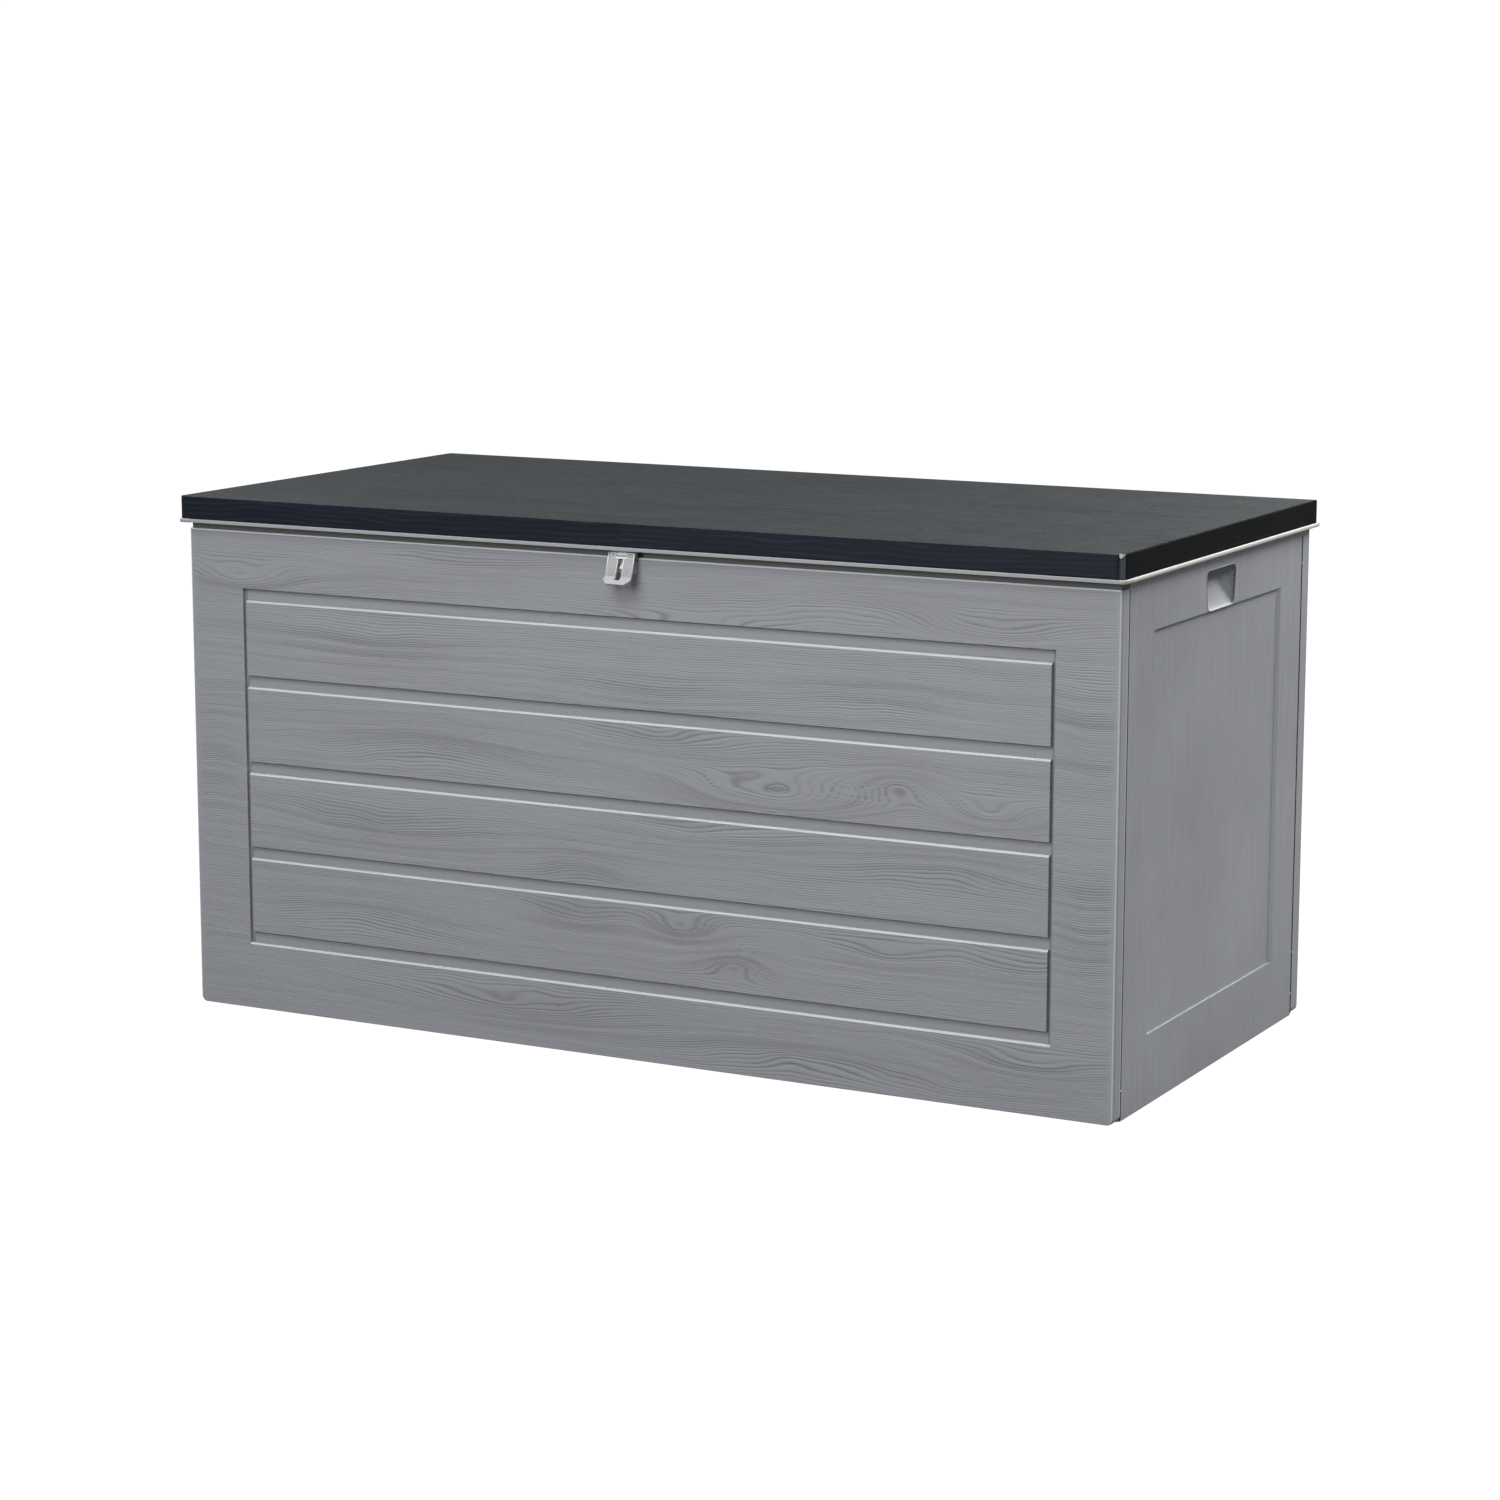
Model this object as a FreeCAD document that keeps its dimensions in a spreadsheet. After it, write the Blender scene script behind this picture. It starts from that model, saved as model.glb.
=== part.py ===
"""Outdoor cushion box: moulded wall panels, a two-part lid on three hinges, two gas struts and a hasp.

Millimetres. X runs along the front from left to right, Y from front to back and Z up.
The origin is on the ground, under the middle of the box. The front face looks to -Y.
"""

import FreeCAD, Part
import math
import os
import re
import Sketcher
from collections import namedtuple

V = FreeCAD.Vector
doc = FreeCAD.newDocument("CushionBox")

# Driving dimensions: name, value, what it is
SIZES = [
    ("body_width", 1460.0, "outer width of the walls"),
    ("body_depth", 710.0, "outer depth of the walls"),
    ("wall_top", 716.7, "height of the side and back walls"),
    ("skin", 3.0, "thickness of a moulded wall"),
    ("rib", 2.5, "thickness of a stiffening rib"),
    ("panel_depth", 22.0, "depth of a wall panel with its ribs"),
    ("fit_gap", 0.3, "gap between pieces that lie together"),
    ("pin_gap", 0.06, "radial gap of a pin in its bore"),
    ("front_return", 25.0, "how far the front panel wraps round the side"),
    ("back_return", 31.5, "how far the back panel wraps round the side"),
    ("front_top", 706.6, "height of the front panel's outer face"),
    ("neck_setback", 12.0, "depth of the finger recess above the front face"),
    ("relief", 6.0, "depth of the grooves between the boards"),
    ("board_pitch", 127.0, "height of one board with its groove"),
    ("groove_height", 18.2, "height of a groove between two boards"),
    ("groove_top", 624.4, "top edge of the highest groove"),
    ("board_half", 633.5, "half the length of a board"),
    ("side_groove", 6.1, "width of the upright grooves at the board ends"),
    ("board_bevel", 2.6, "bevel on the upper edge of a board"),
    ("edge_round", 3.0, "rounding of the upright corners"),
    ("foot_round", 9.0, "rounding of the lower corners"),
    ("cell_columns", 5.0, "rib cells along the front and back panel"),
    ("side_columns", 3.0, "rib cells along a side panel"),
    ("floor_columns", 5.0, "rib cells along the floor"),
    ("overlap", 1.0, "how deep one form of a piece starts inside another"),
    ("field_front", -241.0, "front edge of the recessed side field"),
    ("field_back", 237.0, "rear edge of the recessed side field"),
    ("field_low", 98.0, "lower edge of the recessed side field"),
    ("field_high", 642.0, "upper edge of the recessed side field"),
    ("field_depth", 3.5, "depth of the recessed field"),
    ("field_margin", 96.0, "distance from the back panel's ends to its field"),
    ("handle_wide", 57.0, "half the width of the handle pocket at its top"),
    ("handle_narrow", 50.0, "half the width of the handle pocket at its bottom"),
    ("handle_corner", 10.0, "rounding of the handle pocket's outline"),
    ("handle_low", 642.0, "lower edge of the handle pocket"),
    ("handle_high", 698.0, "upper edge of the handle pocket"),
    ("handle_deep", 34.0, "depth of the handle pocket"),
    ("handle_round", 7.0, "rounding inside the handle pocket"),
    ("ledge_reach", 10.0, "how far the floor ledge stands into the box"),
    ("floor_level", 24.0, "height of the floor plate's underside"),
    ("floor_foot", 30.0, "radius of the foot under the floor's middle"),
    ("lid_side", 8.0, "overhang of the lid shell at the sides"),
    ("lid_front", 12.0, "overhang of the lid shell at the front"),
    ("lid_back", 8.0, "overhang of the lid shell at the back"),
    ("lid_skirt", 33.0, "height of the lid shell"),
    ("lid_round", 4.0, "rounding of the lid shell's upper edge"),
    ("corner_cut", 8.0, "flat across the liner's front corners"),
    ("notch_reach", 4.5, "width of the notch where the shell's skirts meet at the front"),
    ("notch_depth", 2.6, "depth of the notch where the shell's skirts meet at the front"),
    ("rim_height", 5.2, "height of the liner's rim"),
    ("rim_reach", 2.5, "how far the rim stands out of the shell"),
    ("hat_half_width", 668.0, "half the width of the liner's raised middle"),
    ("hat_front", 318.0, "front reach of the liner's raised middle"),
    ("hat_back", 310.0, "rear reach of the liner's raised middle"),
    ("hat_rise", 16.0, "height of the liner's raised middle over its rim"),
    ("lid_rib_drop", 9.0, "height of the ribs under the liner"),
    ("lid_ribs", 7.0, "ribs under the liner"),
    ("boss_half", 6.0, "half the width of a screw post"),
    ("axis_behind", 7.0, "distance of the hinge axis behind the back wall"),
    ("axis_height", 708.0, "height of the hinge axis"),
    ("hinge_spread", 480.0, "distance of the outer hinges from the middle"),
    ("hinge_half", 34.0, "half the length of a hinge"),
    ("knuckle_half", 13.0, "half the length of the middle knuckle"),
    ("knuckle_radius", 6.0, "outer radius of a hinge knuckle"),
    ("pin_radius", 2.5, "radius of a hinge pin"),
    ("leaf", 2.5, "thickness of a hinge leaf"),
    ("leaf_drop", 50.0, "length of the lower hinge leaf below the axis"),
    ("leaf_rise", 40.0, "length of the upper hinge leaf above the axis"),
    ("leaf_corner", 5.0, "bevel on the corners of a hinge leaf"),
    ("leaf_shoulder", 5.0, "distance of the lower leaf's top edge below the axis"),
    ("leaf_arm", 8.0, "distance of a lower leaf's arm below the axis"),
    ("pin_tip", 2.0, "how far a hinge pin stands out of its knuckles"),
    ("lid_travel", 85.0, "opening angle of the lid"),
    ("strut_arm", 230.0, "distance of both strut ends from the hinge axis"),
    ("strut_wedge", 70.0, "angle between the two strut ends when shut"),
    ("strut_droop", 2.35, "angle of the lid end below the hinge axis when shut"),
    ("strut_inset", 40.0, "distance of the strut from the outer wall face"),
    ("stud_radius", 4.0, "radius of a strut's stud in its eye"),
    ("collar", 1.8, "how far a stud's shoulder and head stand out of it"),
    ("stud_head", 1.5, "thickness of a stud's head"),
    ("eye_radius", 8.0, "outer radius of a strut's eye"),
    ("eye_half", 6.0, "half the width of a strut's eye"),
    ("stem_half", 5.6, "half the width of an eye's stem"),
    ("stem_reach", 22.0, "length of an end fitting from its eye's middle"),
    ("rod_radius", 4.0, "radius of the strut rod"),
    ("rod_grip", 10.0, "length of the rod held in its end fitting"),
    ("tube_radius", 9.0, "outer radius of the strut tube"),
    ("tube_wall", 1.2, "wall of the strut tube"),
    ("tube_mouth", 31.0, "distance from the lower eye to the tube's mouth"),
    ("gland_length", 10.0, "length of the gland in the tube's mouth"),
    ("piston_length", 8.0, "length of the piston"),
    ("tube_bevel", 1.5, "bevel on the closed end of the strut tube"),
    ("strut_pad", 16.0, "half the width of the solid pad behind the strut's lower bracket"),
    ("pad_tall", 22.0, "half the height of that pad"),
    ("cheek_drop", 7.0, "how far the upper bracket's cheek reaches below its stud"),
    ("plate", 2.5, "thickness of a strut bracket"),
    ("bracket_half", 9.0, "half the width of a strut bracket"),
    ("bracket_reach", 20.0, "half the length of a strut bracket"),
    ("bracket_screw", 14.0, "distance of a strut bracket's screws from its stud"),
    ("screw_radius", 2.0, "radius of a screw's shank"),
    ("screw_head", 3.9, "radius of a screw's head"),
    ("screw_cap", 2.2, "height of a screw's head"),
    ("screw_length", 10.0, "length of a screw's shank"),
    ("hasp_half", 21.0, "half the width of the hasp"),
    ("hasp_axis_out", 7.5, "distance of the hasp's axis in front of the wall"),
    ("hasp_axis_drop", 5.7, "distance of the hasp's axis under the rim"),
    ("hasp_barrel", 3.6, "radius of the hasp's barrel"),
    ("hasp_pin", 1.5, "radius of the hasp's pin"),
    ("hasp_plate", 2.6, "thickness of the hasp"),
    ("hasp_drop", 32.0, "length of the hasp's flat below its axis"),
    ("hasp_lip", 13.0, "drop of the hasp's finger lip"),
    ("hasp_flare", 7.0, "how far the finger lip stands out"),
    ("hasp_lean", 19.0, "angle at which the hasp rests on the hook"),
    ("hasp_corner", 7.0, "bevel on the corners of the finger lip"),
    ("hasp_cell", 1.2, "depth of the cells at the top of the hasp"),
    ("latch_roof", 2.0, "thickness of the hasp bracket's plate"),
    ("slot_half", 4.0, "half the width of the hasp's slot"),
    ("ear_half", 7.5, "half the width of the hasp bracket's ear"),
    ("hook_half", 2.5, "half the width of the staple's hook"),
    ("staple_half", 17.6, "half the width of the staple's base"),
    ("staple_height", 19.0, "height of the staple's base"),
    ("staple_plate", 2.5, "thickness of the staple's base"),
    ("staple_round", 2.5, "rounding of the staple's corners"),
    ("hook_nose", 2.0, "height of the hook's nose"),
    ("hook_throat", 3.0, "drop from the nose to the hook's belly"),
    ("hook_belly", 5.0, "how far the hook's belly stands out of the base"),
    ("hook_foot", 4.0, "how far the hook's foot stands out of the base"),
    ("peg_half", 3.0, "half the width of a corner peg"),
    ("peg_head", 5.0, "half the width of a corner peg's head"),
    ("peg_reach", 10.0, "length of a corner peg beyond the seam"),
]

# Places worked out from the driving dimensions
PLACES = {
    "side_face": "body_width / 2",
    "front_face": "-body_depth / 2",
    "back_face": "body_depth / 2",
    "side_inner": "body_width / 2 - panel_depth",
    "front_inner": "-body_depth / 2 + panel_depth",
    "back_inner": "body_depth / 2 - panel_depth",
    "front_seam": "-body_depth / 2 + front_return",
    "back_seam": "body_depth / 2 - back_return",
    "neck_face": "-body_depth / 2 + neck_setback",
    "side_front": "front_inner + fit_gap",
    "side_back": "back_inner - fit_gap",
    "board_tall": "board_pitch - groove_height",
    "panel_low": "groove_top - 4 * board_pitch - groove_height",
    "rim_low": "wall_top + fit_gap",
    "rim_high": "wall_top + fit_gap + rim_height",
    "shell_top": "rim_high + lid_skirt",
    "shell_side": "side_face + lid_side",
    "shell_front": "front_face - lid_front",
    "shell_back": "back_face + lid_back",
    "axis_y": "back_face + axis_behind",
    "leaf_low_y": "back_face + fit_gap",
    "leaf_up_y": "shell_back + fit_gap",
    "strut_x": "side_face - strut_inset",
    "strut_shut": "2 * strut_arm * sin(strut_wedge / 2 * 1deg)",
    "strut_open": "2 * strut_arm * sin((strut_wedge + lid_travel) / 2 * 1deg)",
    "tube_end": "strut_shut - stem_reach",
    "piston_top": "tube_end - 2 * tube_wall",
    "hasp_axis_y": "front_face - hasp_axis_out",
    "hasp_axis_z": "rim_low - hasp_axis_drop",
    "roof_low": "rim_low - fit_gap - latch_roof",
    "staple_out": "front_face - fit_gap - staple_plate",
    "peg_x": "side_inner + panel_depth / 2 - 2",
    "hat_top": "rim_high + hat_rise",
    "hat_under": "hat_top - skin",
    "lid_screw_tip": "hat_under + screw_length",
    "rib_pitch": "(2 * hat_half_width - 2 * skin) / (lid_ribs + 1)",
    "staple_top": "front_top - board_bevel",
    "bracket_screw_y": "front_face + 5",
    "hook_high": "hasp_axis_z - 16",
    "hook_tip": "hasp_axis_y - 17 * tan(hasp_lean * 1deg) + 0.6",
}

sheet = doc.addObject("Spreadsheet::Sheet", "Sizes")
for row, (alias, number, note) in enumerate(SIZES, start=1):
    sheet.set(f"A{row}", alias)
    sheet.set(f"B{row}", str(number))
    sheet.set(f"C{row}", note)
    sheet.setAlias(f"B{row}", alias)
doc.recompute()

ALIASES = {alias for alias, number, note in SIZES}
parts = []


def formula(text):
    """Writes a size's or place's name out as an expression on the sheet."""

    def spell(match):
        word = match.group(0)
        if word in ALIASES:
            return f"Sizes.{word}"
        if word in PLACES:
            return f"({formula(PLACES[word])})"
        return word

    return re.sub(r"[a-z_]+", spell, str(text))


def value(text):
    """Reads the number that a formula gives."""
    return float(sheet.evalExpression(formula(text)))


def bind(item, name, text):
    item.setExpression(name, formula(text))


PLANES = {"XY": ("XY_Plane", 1), "XZ": ("XZ_Plane", -1), "YZ": ("YZ_Plane", 1)}
SCREW_SIDES = 6


def new_body(label):
    """Starts one moulded or machined piece."""
    body = doc.addObject("PartDesign::Body", label)
    body.Label = label
    parts.append(body)
    return body


def origin_item(body, role):
    return [item for item in body.Origin.OriginFeatures if item.Role == role][0]


def new_sketch(body, plane, at):
    """Puts a sketch on one of the body's own planes, moved to the coordinate at."""
    role, sign = PLANES[plane]
    sketch = body.newObject("Sketcher::SketchObject", f"{body.Label}_sketch")
    sketch.AttachmentSupport = [(origin_item(body, role), "")]
    sketch.MapMode = "FlatFace"
    bind(sketch, "AttachmentOffset.Base.z", f"{sign} * ({at})")
    return sketch


def draw_loop(sketch, points):
    """Draws a closed outline whose corners are given as pairs of formulas."""
    first = sketch.GeometryCount
    count = len(points)
    places = [V(value(x), value(y), 0) for x, y in points]
    for index, place in enumerate(places):
        sketch.addGeometry(Part.LineSegment(place, places[(index + 1) % count]), False)
    for index in range(count):
        after = first + (index + 1) % count
        sketch.addConstraint(Sketcher.Constraint("Coincident", first + index, 2, after, 1))
    for index, (x, y) in enumerate(points):
        line = first + index
        across = Sketcher.Constraint("DistanceX", -1, 1, line, 1, places[index].x)
        upward = Sketcher.Constraint("DistanceY", -1, 1, line, 1, places[index].y)
        bind(sketch, f"Constraints[{sketch.addConstraint(across)}]", x)
        bind(sketch, f"Constraints[{sketch.addConstraint(upward)}]", y)


def box_loop(x_low, x_high, y_low, y_high):
    return [(x_low, y_low), (x_high, y_low), (x_high, y_high), (x_low, y_high)]


def draw_circle(sketch, x, y, radius):
    centre = V(value(x), value(y), 0)
    ring = sketch.addGeometry(Part.Circle(centre, V(0, 0, 1), value(radius)), False)
    across = Sketcher.Constraint("DistanceX", -1, 1, ring, 3, centre.x)
    upward = Sketcher.Constraint("DistanceY", -1, 1, ring, 3, centre.y)
    size = Sketcher.Constraint("Radius", ring, value(radius))
    bind(sketch, f"Constraints[{sketch.addConstraint(across)}]", x)
    bind(sketch, f"Constraints[{sketch.addConstraint(upward)}]", y)
    bind(sketch, f"Constraints[{sketch.addConstraint(size)}]", radius)


Rounded = namedtuple("Rounded", "corners radius")


def draw_rounded(sketch, corners, radius):
    """Draws a closed outline whose corners are arcs of one radius, tangent to both sides."""
    size = value(radius)
    places = [V(value(x), value(y), 0) for x, y in corners]
    count = len(places)
    arcs, starts, ends = [], [], []
    for index, place in enumerate(places):
        back = (places[index - 1] - place).normalize()
        onward = (places[(index + 1) % count] - place).normalize()
        half = back.getAngle(onward) / 2
        enter, leave = place + back * (size / math.tan(half)), place + onward * (size / math.tan(half))
        centre = place + (back + onward).normalize() * (size / math.sin(half))
        start, end = (math.atan2(spot.y - centre.y, spot.x - centre.x) for spot in (enter, leave))
        arcs.append(Part.ArcOfCircle(Part.Circle(centre, V(0, 0, 1), size), start, end))
        starts.append(leave)
        ends.append(enter)
    lines = [sketch.addGeometry(Part.LineSegment(starts[index], ends[(index + 1) % count]), False)
             for index in range(count)]
    turns = [sketch.addGeometry(arc, False) for arc in arcs]
    for index, (x, y) in enumerate(corners):
        before, after, turn = lines[index - 1], lines[index], turns[index]
        point = sketch.addGeometry(Part.Point(places[index]), True)
        sketch.addConstraint(Sketcher.Constraint("Tangent", before, 2, turn, 1))
        sketch.addConstraint(Sketcher.Constraint("Tangent", turn, 2, after, 1))
        sketch.addConstraint(Sketcher.Constraint("PointOnObject", point, 1, before))
        sketch.addConstraint(Sketcher.Constraint("PointOnObject", point, 1, after))
        across = Sketcher.Constraint("DistanceX", -1, 1, point, 1, places[index].x)
        upward = Sketcher.Constraint("DistanceY", -1, 1, point, 1, places[index].y)
        bend = Sketcher.Constraint("Radius", turn, size)
        bind(sketch, f"Constraints[{sketch.addConstraint(across)}]", x)
        bind(sketch, f"Constraints[{sketch.addConstraint(upward)}]", y)
        bind(sketch, f"Constraints[{sketch.addConstraint(bend)}]", radius)


def hexagon(x, y, reach):
    """A six-sided outline whose corners lie at the distance reach from its middle."""
    corners = []
    for index in range(SCREW_SIDES):
        turn = (index + 0.5) * 2 * math.pi / SCREW_SIDES
        corners.append((f"{x} + {math.cos(turn):.5f} * ({reach})", f"{y} + {math.sin(turn):.5f} * ({reach})"))
    return corners


def screw_hole(x, y):
    """A six-sided hole round a screw's shank."""
    return hexagon(x, y, "(screw_radius + pin_gap) / cos(30deg)")


def draw(sketch, shapes):
    """A shape is a list of corners, a Rounded outline, or a circle as (x, y, radius)."""
    for shape in shapes:
        if isinstance(shape, Rounded):
            draw_rounded(sketch, *shape)
        elif isinstance(shape, tuple):
            draw_circle(sketch, *shape)
        else:
            draw_loop(sketch, shape)


def pad(body, plane, low, high, shapes):
    """Adds material between two coordinates across the plane."""
    start = low if PLANES[plane][1] > 0 else high
    sketch = new_sketch(body, plane, start)
    draw(sketch, shapes)
    feature = body.newObject("PartDesign::Pad", f"{body.Label}_pad")
    feature.Profile = sketch
    bind(feature, "Length", f"({high}) - ({low})")
    doc.recompute()
    return feature


def pocket(body, plane, low, high, shapes):
    """Takes material away between two coordinates across the plane."""
    before = body.Shape.Volume
    start = high if PLANES[plane][1] > 0 else low
    sketch = new_sketch(body, plane, start)
    draw(sketch, shapes)
    feature = body.newObject("PartDesign::Pocket", f"{body.Label}_pocket")
    feature.Profile = sketch
    bind(feature, "Length", f"({high}) - ({low})")
    doc.recompute()
    if body.Shape.Volume > before - 0.01:
        raise RuntimeError(f"{body.Label}: a pocket cuts nothing")
    return feature


def spin(body, kind, plane, axis, points, at="0"):
    """Turns an outline once round an axis of its sketch: a Revolution adds, a Groove takes away."""
    sketch = new_sketch(body, plane, at)
    draw_loop(sketch, points)
    feature = body.newObject(f"PartDesign::{kind}", f"{body.Label}_{kind.lower()}")
    feature.Profile = sketch
    feature.ReferenceAxis = (sketch, [axis])
    feature.Angle = 360
    doc.recompute()
    return feature


def repeat(body, feature, role, pitch, count):
    """Repeats a feature along one of the body's axes."""
    pattern = body.newObject("PartDesign::LinearPattern", f"{body.Label}_pattern")
    pattern.Originals = [feature]
    pattern.Direction = (origin_item(body, role), [""])
    bind(pattern, "Length", f"({pitch}) * (({count}) - 1)")
    bind(pattern, "Occurrences", count)
    body.Tip = pattern
    doc.recompute()
    return pattern


def soften(body, kind, size, chosen):
    """Fillets or chamfers the edges for which chosen says yes."""
    edges = body.Shape.Edges
    names = [f"Edge{index + 1}" for index, edge in enumerate(edges) if chosen(edge)]
    if not names:
        raise RuntimeError(f"{body.Label}: no edge to {kind.lower()}")
    base = body.Tip
    feature = body.newObject(f"PartDesign::{kind}", f"{body.Label}_{kind.lower()}")
    feature.Base = (base, names)
    bind(feature, "Radius" if kind == "Fillet" else "Size", size)
    doc.recompute()
    return feature


def along(edge, direction):
    """True for a straight edge that runs along a direction."""
    if edge.Curve.TypeId != "Part::GeomLine":
        return False
    line = edge.Vertexes[-1].Point - edge.Vertexes[0].Point
    return line.cross(direction).Length < 0.001 * line.Length


def near(a, b):
    return abs(a - b) < 0.01


# Front panel


def board_rows():
    """The lower and upper edge of each board, from the top one down."""
    rows = []
    for index in range(4):
        high = f"groove_top - groove_height - {index} * board_pitch"
        rows.append((f"{high} - board_tall", high))
    return rows


def make_front_panel():
    body = new_body("front_panel")
    pad(body, "XZ", "front_face", "front_inner", [box_loop("-side_face", "side_face", "0", "front_top")])
    add_returns(body, "front_inner", "front_seam", "front_top")
    neck = box_loop("-side_inner + fit_gap", "side_inner - fit_gap", "neck_face", "front_inner")
    pad(body, "XY", "front_top", "wall_top", [neck])
    # The boards stay proud of one sunk field
    field = box_loop("-board_half - side_groove", "board_half + side_groove", "panel_low", "groove_top")
    boards = [box_loop("-board_half", "board_half", low, high) for low, high in board_rows()]
    pocket(body, "XZ", "front_face", "front_face + relief", [field] + boards)
    # Upright rib cells whose floor follows rails, boards and grooves at one wall thickness
    rows = [("skin", "panel_low - skin")]
    rows += [(f"{low} + skin", f"{high} - skin") for low, high in reversed(board_rows())]
    rows.append(("groove_top + skin", "front_top - skin"))
    cell = stepped("front_inner", "front_face + skin", "front_face + relief + skin", rows)
    hollow(body, "YZ", "-board_half + skin", "board_half - skin", "cell_columns", cell)
    hollow_ends(body, "front_face + skin", "front_inner", "board_half + side_groove + skin", "front_top")
    ledge = box_loop("-side_inner + ledge_reach", "side_inner - ledge_reach", "front_inner",
                     "front_inner + ledge_reach")
    pad(body, "XY", "floor_level - fit_gap - skin", "floor_level - fit_gap", [ledge])
    add_peg_holes(body, "front_inner - peg_reach - pin_gap", "front_inner")
    screws = [screw_hole(x, z) for x, z in staple_screw_places()]
    pocket(body, "XZ", "front_face", "front_face + skin", screws)
    face = value("front_face")
    tops = [value(high) for low, high in board_rows()] + [value("panel_low"), value("front_top")]
    soften(body, "Chamfer", "board_bevel", lambda edge: along(edge, V(1, 0, 0))
           and near(edge.CenterOfMass.y, face) and any(near(edge.CenterOfMass.z, top) for top in tops))
    round_corners(body, face)
    return body


def add_returns(body, low, high, top):
    """Thin flanges that wrap the panel's ends round the sides."""
    for sign in (-1, 1):
        inner, outer = ordered(sign, "side_face - skin", "side_face")
        pad(body, "XY", "0", top, [box_loop(inner, outer, low, high)])


def round_corners(body, face):
    """Rounds the upright corners and the two corners on the ground."""
    side = value("side_face")
    soften(body, "Fillet", "foot_round", lambda edge: along(edge, V(0, 1, 0))
           and near(edge.CenterOfMass.z, 0) and near(abs(edge.CenterOfMass.x), side))
    soften(body, "Fillet", "edge_round", lambda edge: along(edge, V(0, 0, 1))
           and near(edge.CenterOfMass.y, face) and near(abs(edge.CenterOfMass.x), side))


def stepped(mouth, deep, shallow, rows):
    """Outline of a cell that is deep in the rows, given from the lowest up, and shallow between them."""
    steps = []
    for low, high in rows:
        steps += [(shallow, low), (deep, low), (deep, high), (shallow, high)]
    return [(mouth, rows[0][0])] + steps[1:-1] + [(mouth, rows[-1][1])]


def hollow(body, plane, start, end, count, cell):
    """Cuts upright rib cells of one outline, in as many columns from start to end as count says."""
    pitch = f"(({end}) - ({start}) + rib) / {count}"
    first = pocket(body, plane, start, f"{start} + {pitch} - rib", [cell])
    repeat(body, first, "X_Axis" if plane == "YZ" else "Y_Axis", pitch, count)


def hollow_ends(body, low, high, start, top):
    """Rib cells in the two uprights of the front or back panel."""
    for sign in (-1, 1):
        inner, outer = ordered(sign, start, "side_inner - skin")
        cells = [box_loop(inner, outer, bottom, upper) for bottom, upper in cell_rows("skin", f"{top} - skin", 2)]
        pocket(body, "XZ", low, high, cells)


def cell_rows(bottom, top, count):
    """Equal rows of rib cells between two heights."""
    pitch = f"(({top}) - ({bottom}) + rib) / {count}"
    return [(f"{bottom} + {index} * {pitch}", f"{bottom} + {index + 1} * {pitch} - rib") for index in range(count)]


# Back panel


def make_back_panel():
    body = new_body("back_panel")
    pad(body, "XZ", "back_inner", "back_face", [box_loop("-side_face", "side_face", "0", "wall_top")])
    add_returns(body, "back_seam", "back_inner", "wall_top")
    edge = "side_face - field_margin"
    field = box_loop(f"-({edge})", edge, "field_low", "field_high")
    pocket(body, "XZ", "back_face - field_depth", "back_face", [field])
    rows = [("skin", "field_low - skin"), ("field_high + skin", "wall_top - skin")]
    cell = stepped("back_inner", "back_face - skin", "back_face - field_depth - skin", rows)
    hollow(body, "YZ", f"-({edge}) + skin", f"{edge} - skin", "cell_columns", cell)
    hollow_ends(body, "back_inner", "back_face - skin", f"{edge} + skin", "wall_top")
    ledge = box_loop("-side_inner + ledge_reach", "side_inner - ledge_reach",
                     "back_inner - ledge_reach", "back_inner")
    pad(body, "XY", "floor_level - fit_gap - skin", "floor_level - fit_gap", [ledge])
    add_peg_holes(body, "back_inner", "back_inner + peg_reach + pin_gap")
    holes = []
    for middle in hinge_middles():
        holes += [screw_hole(x, z) for x, z in lower_leaf_screws(middle)]
    pocket(body, "XZ", "back_face - skin", "back_face", holes)
    round_corners(body, value("back_face"))
    return body


# Side panels


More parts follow.
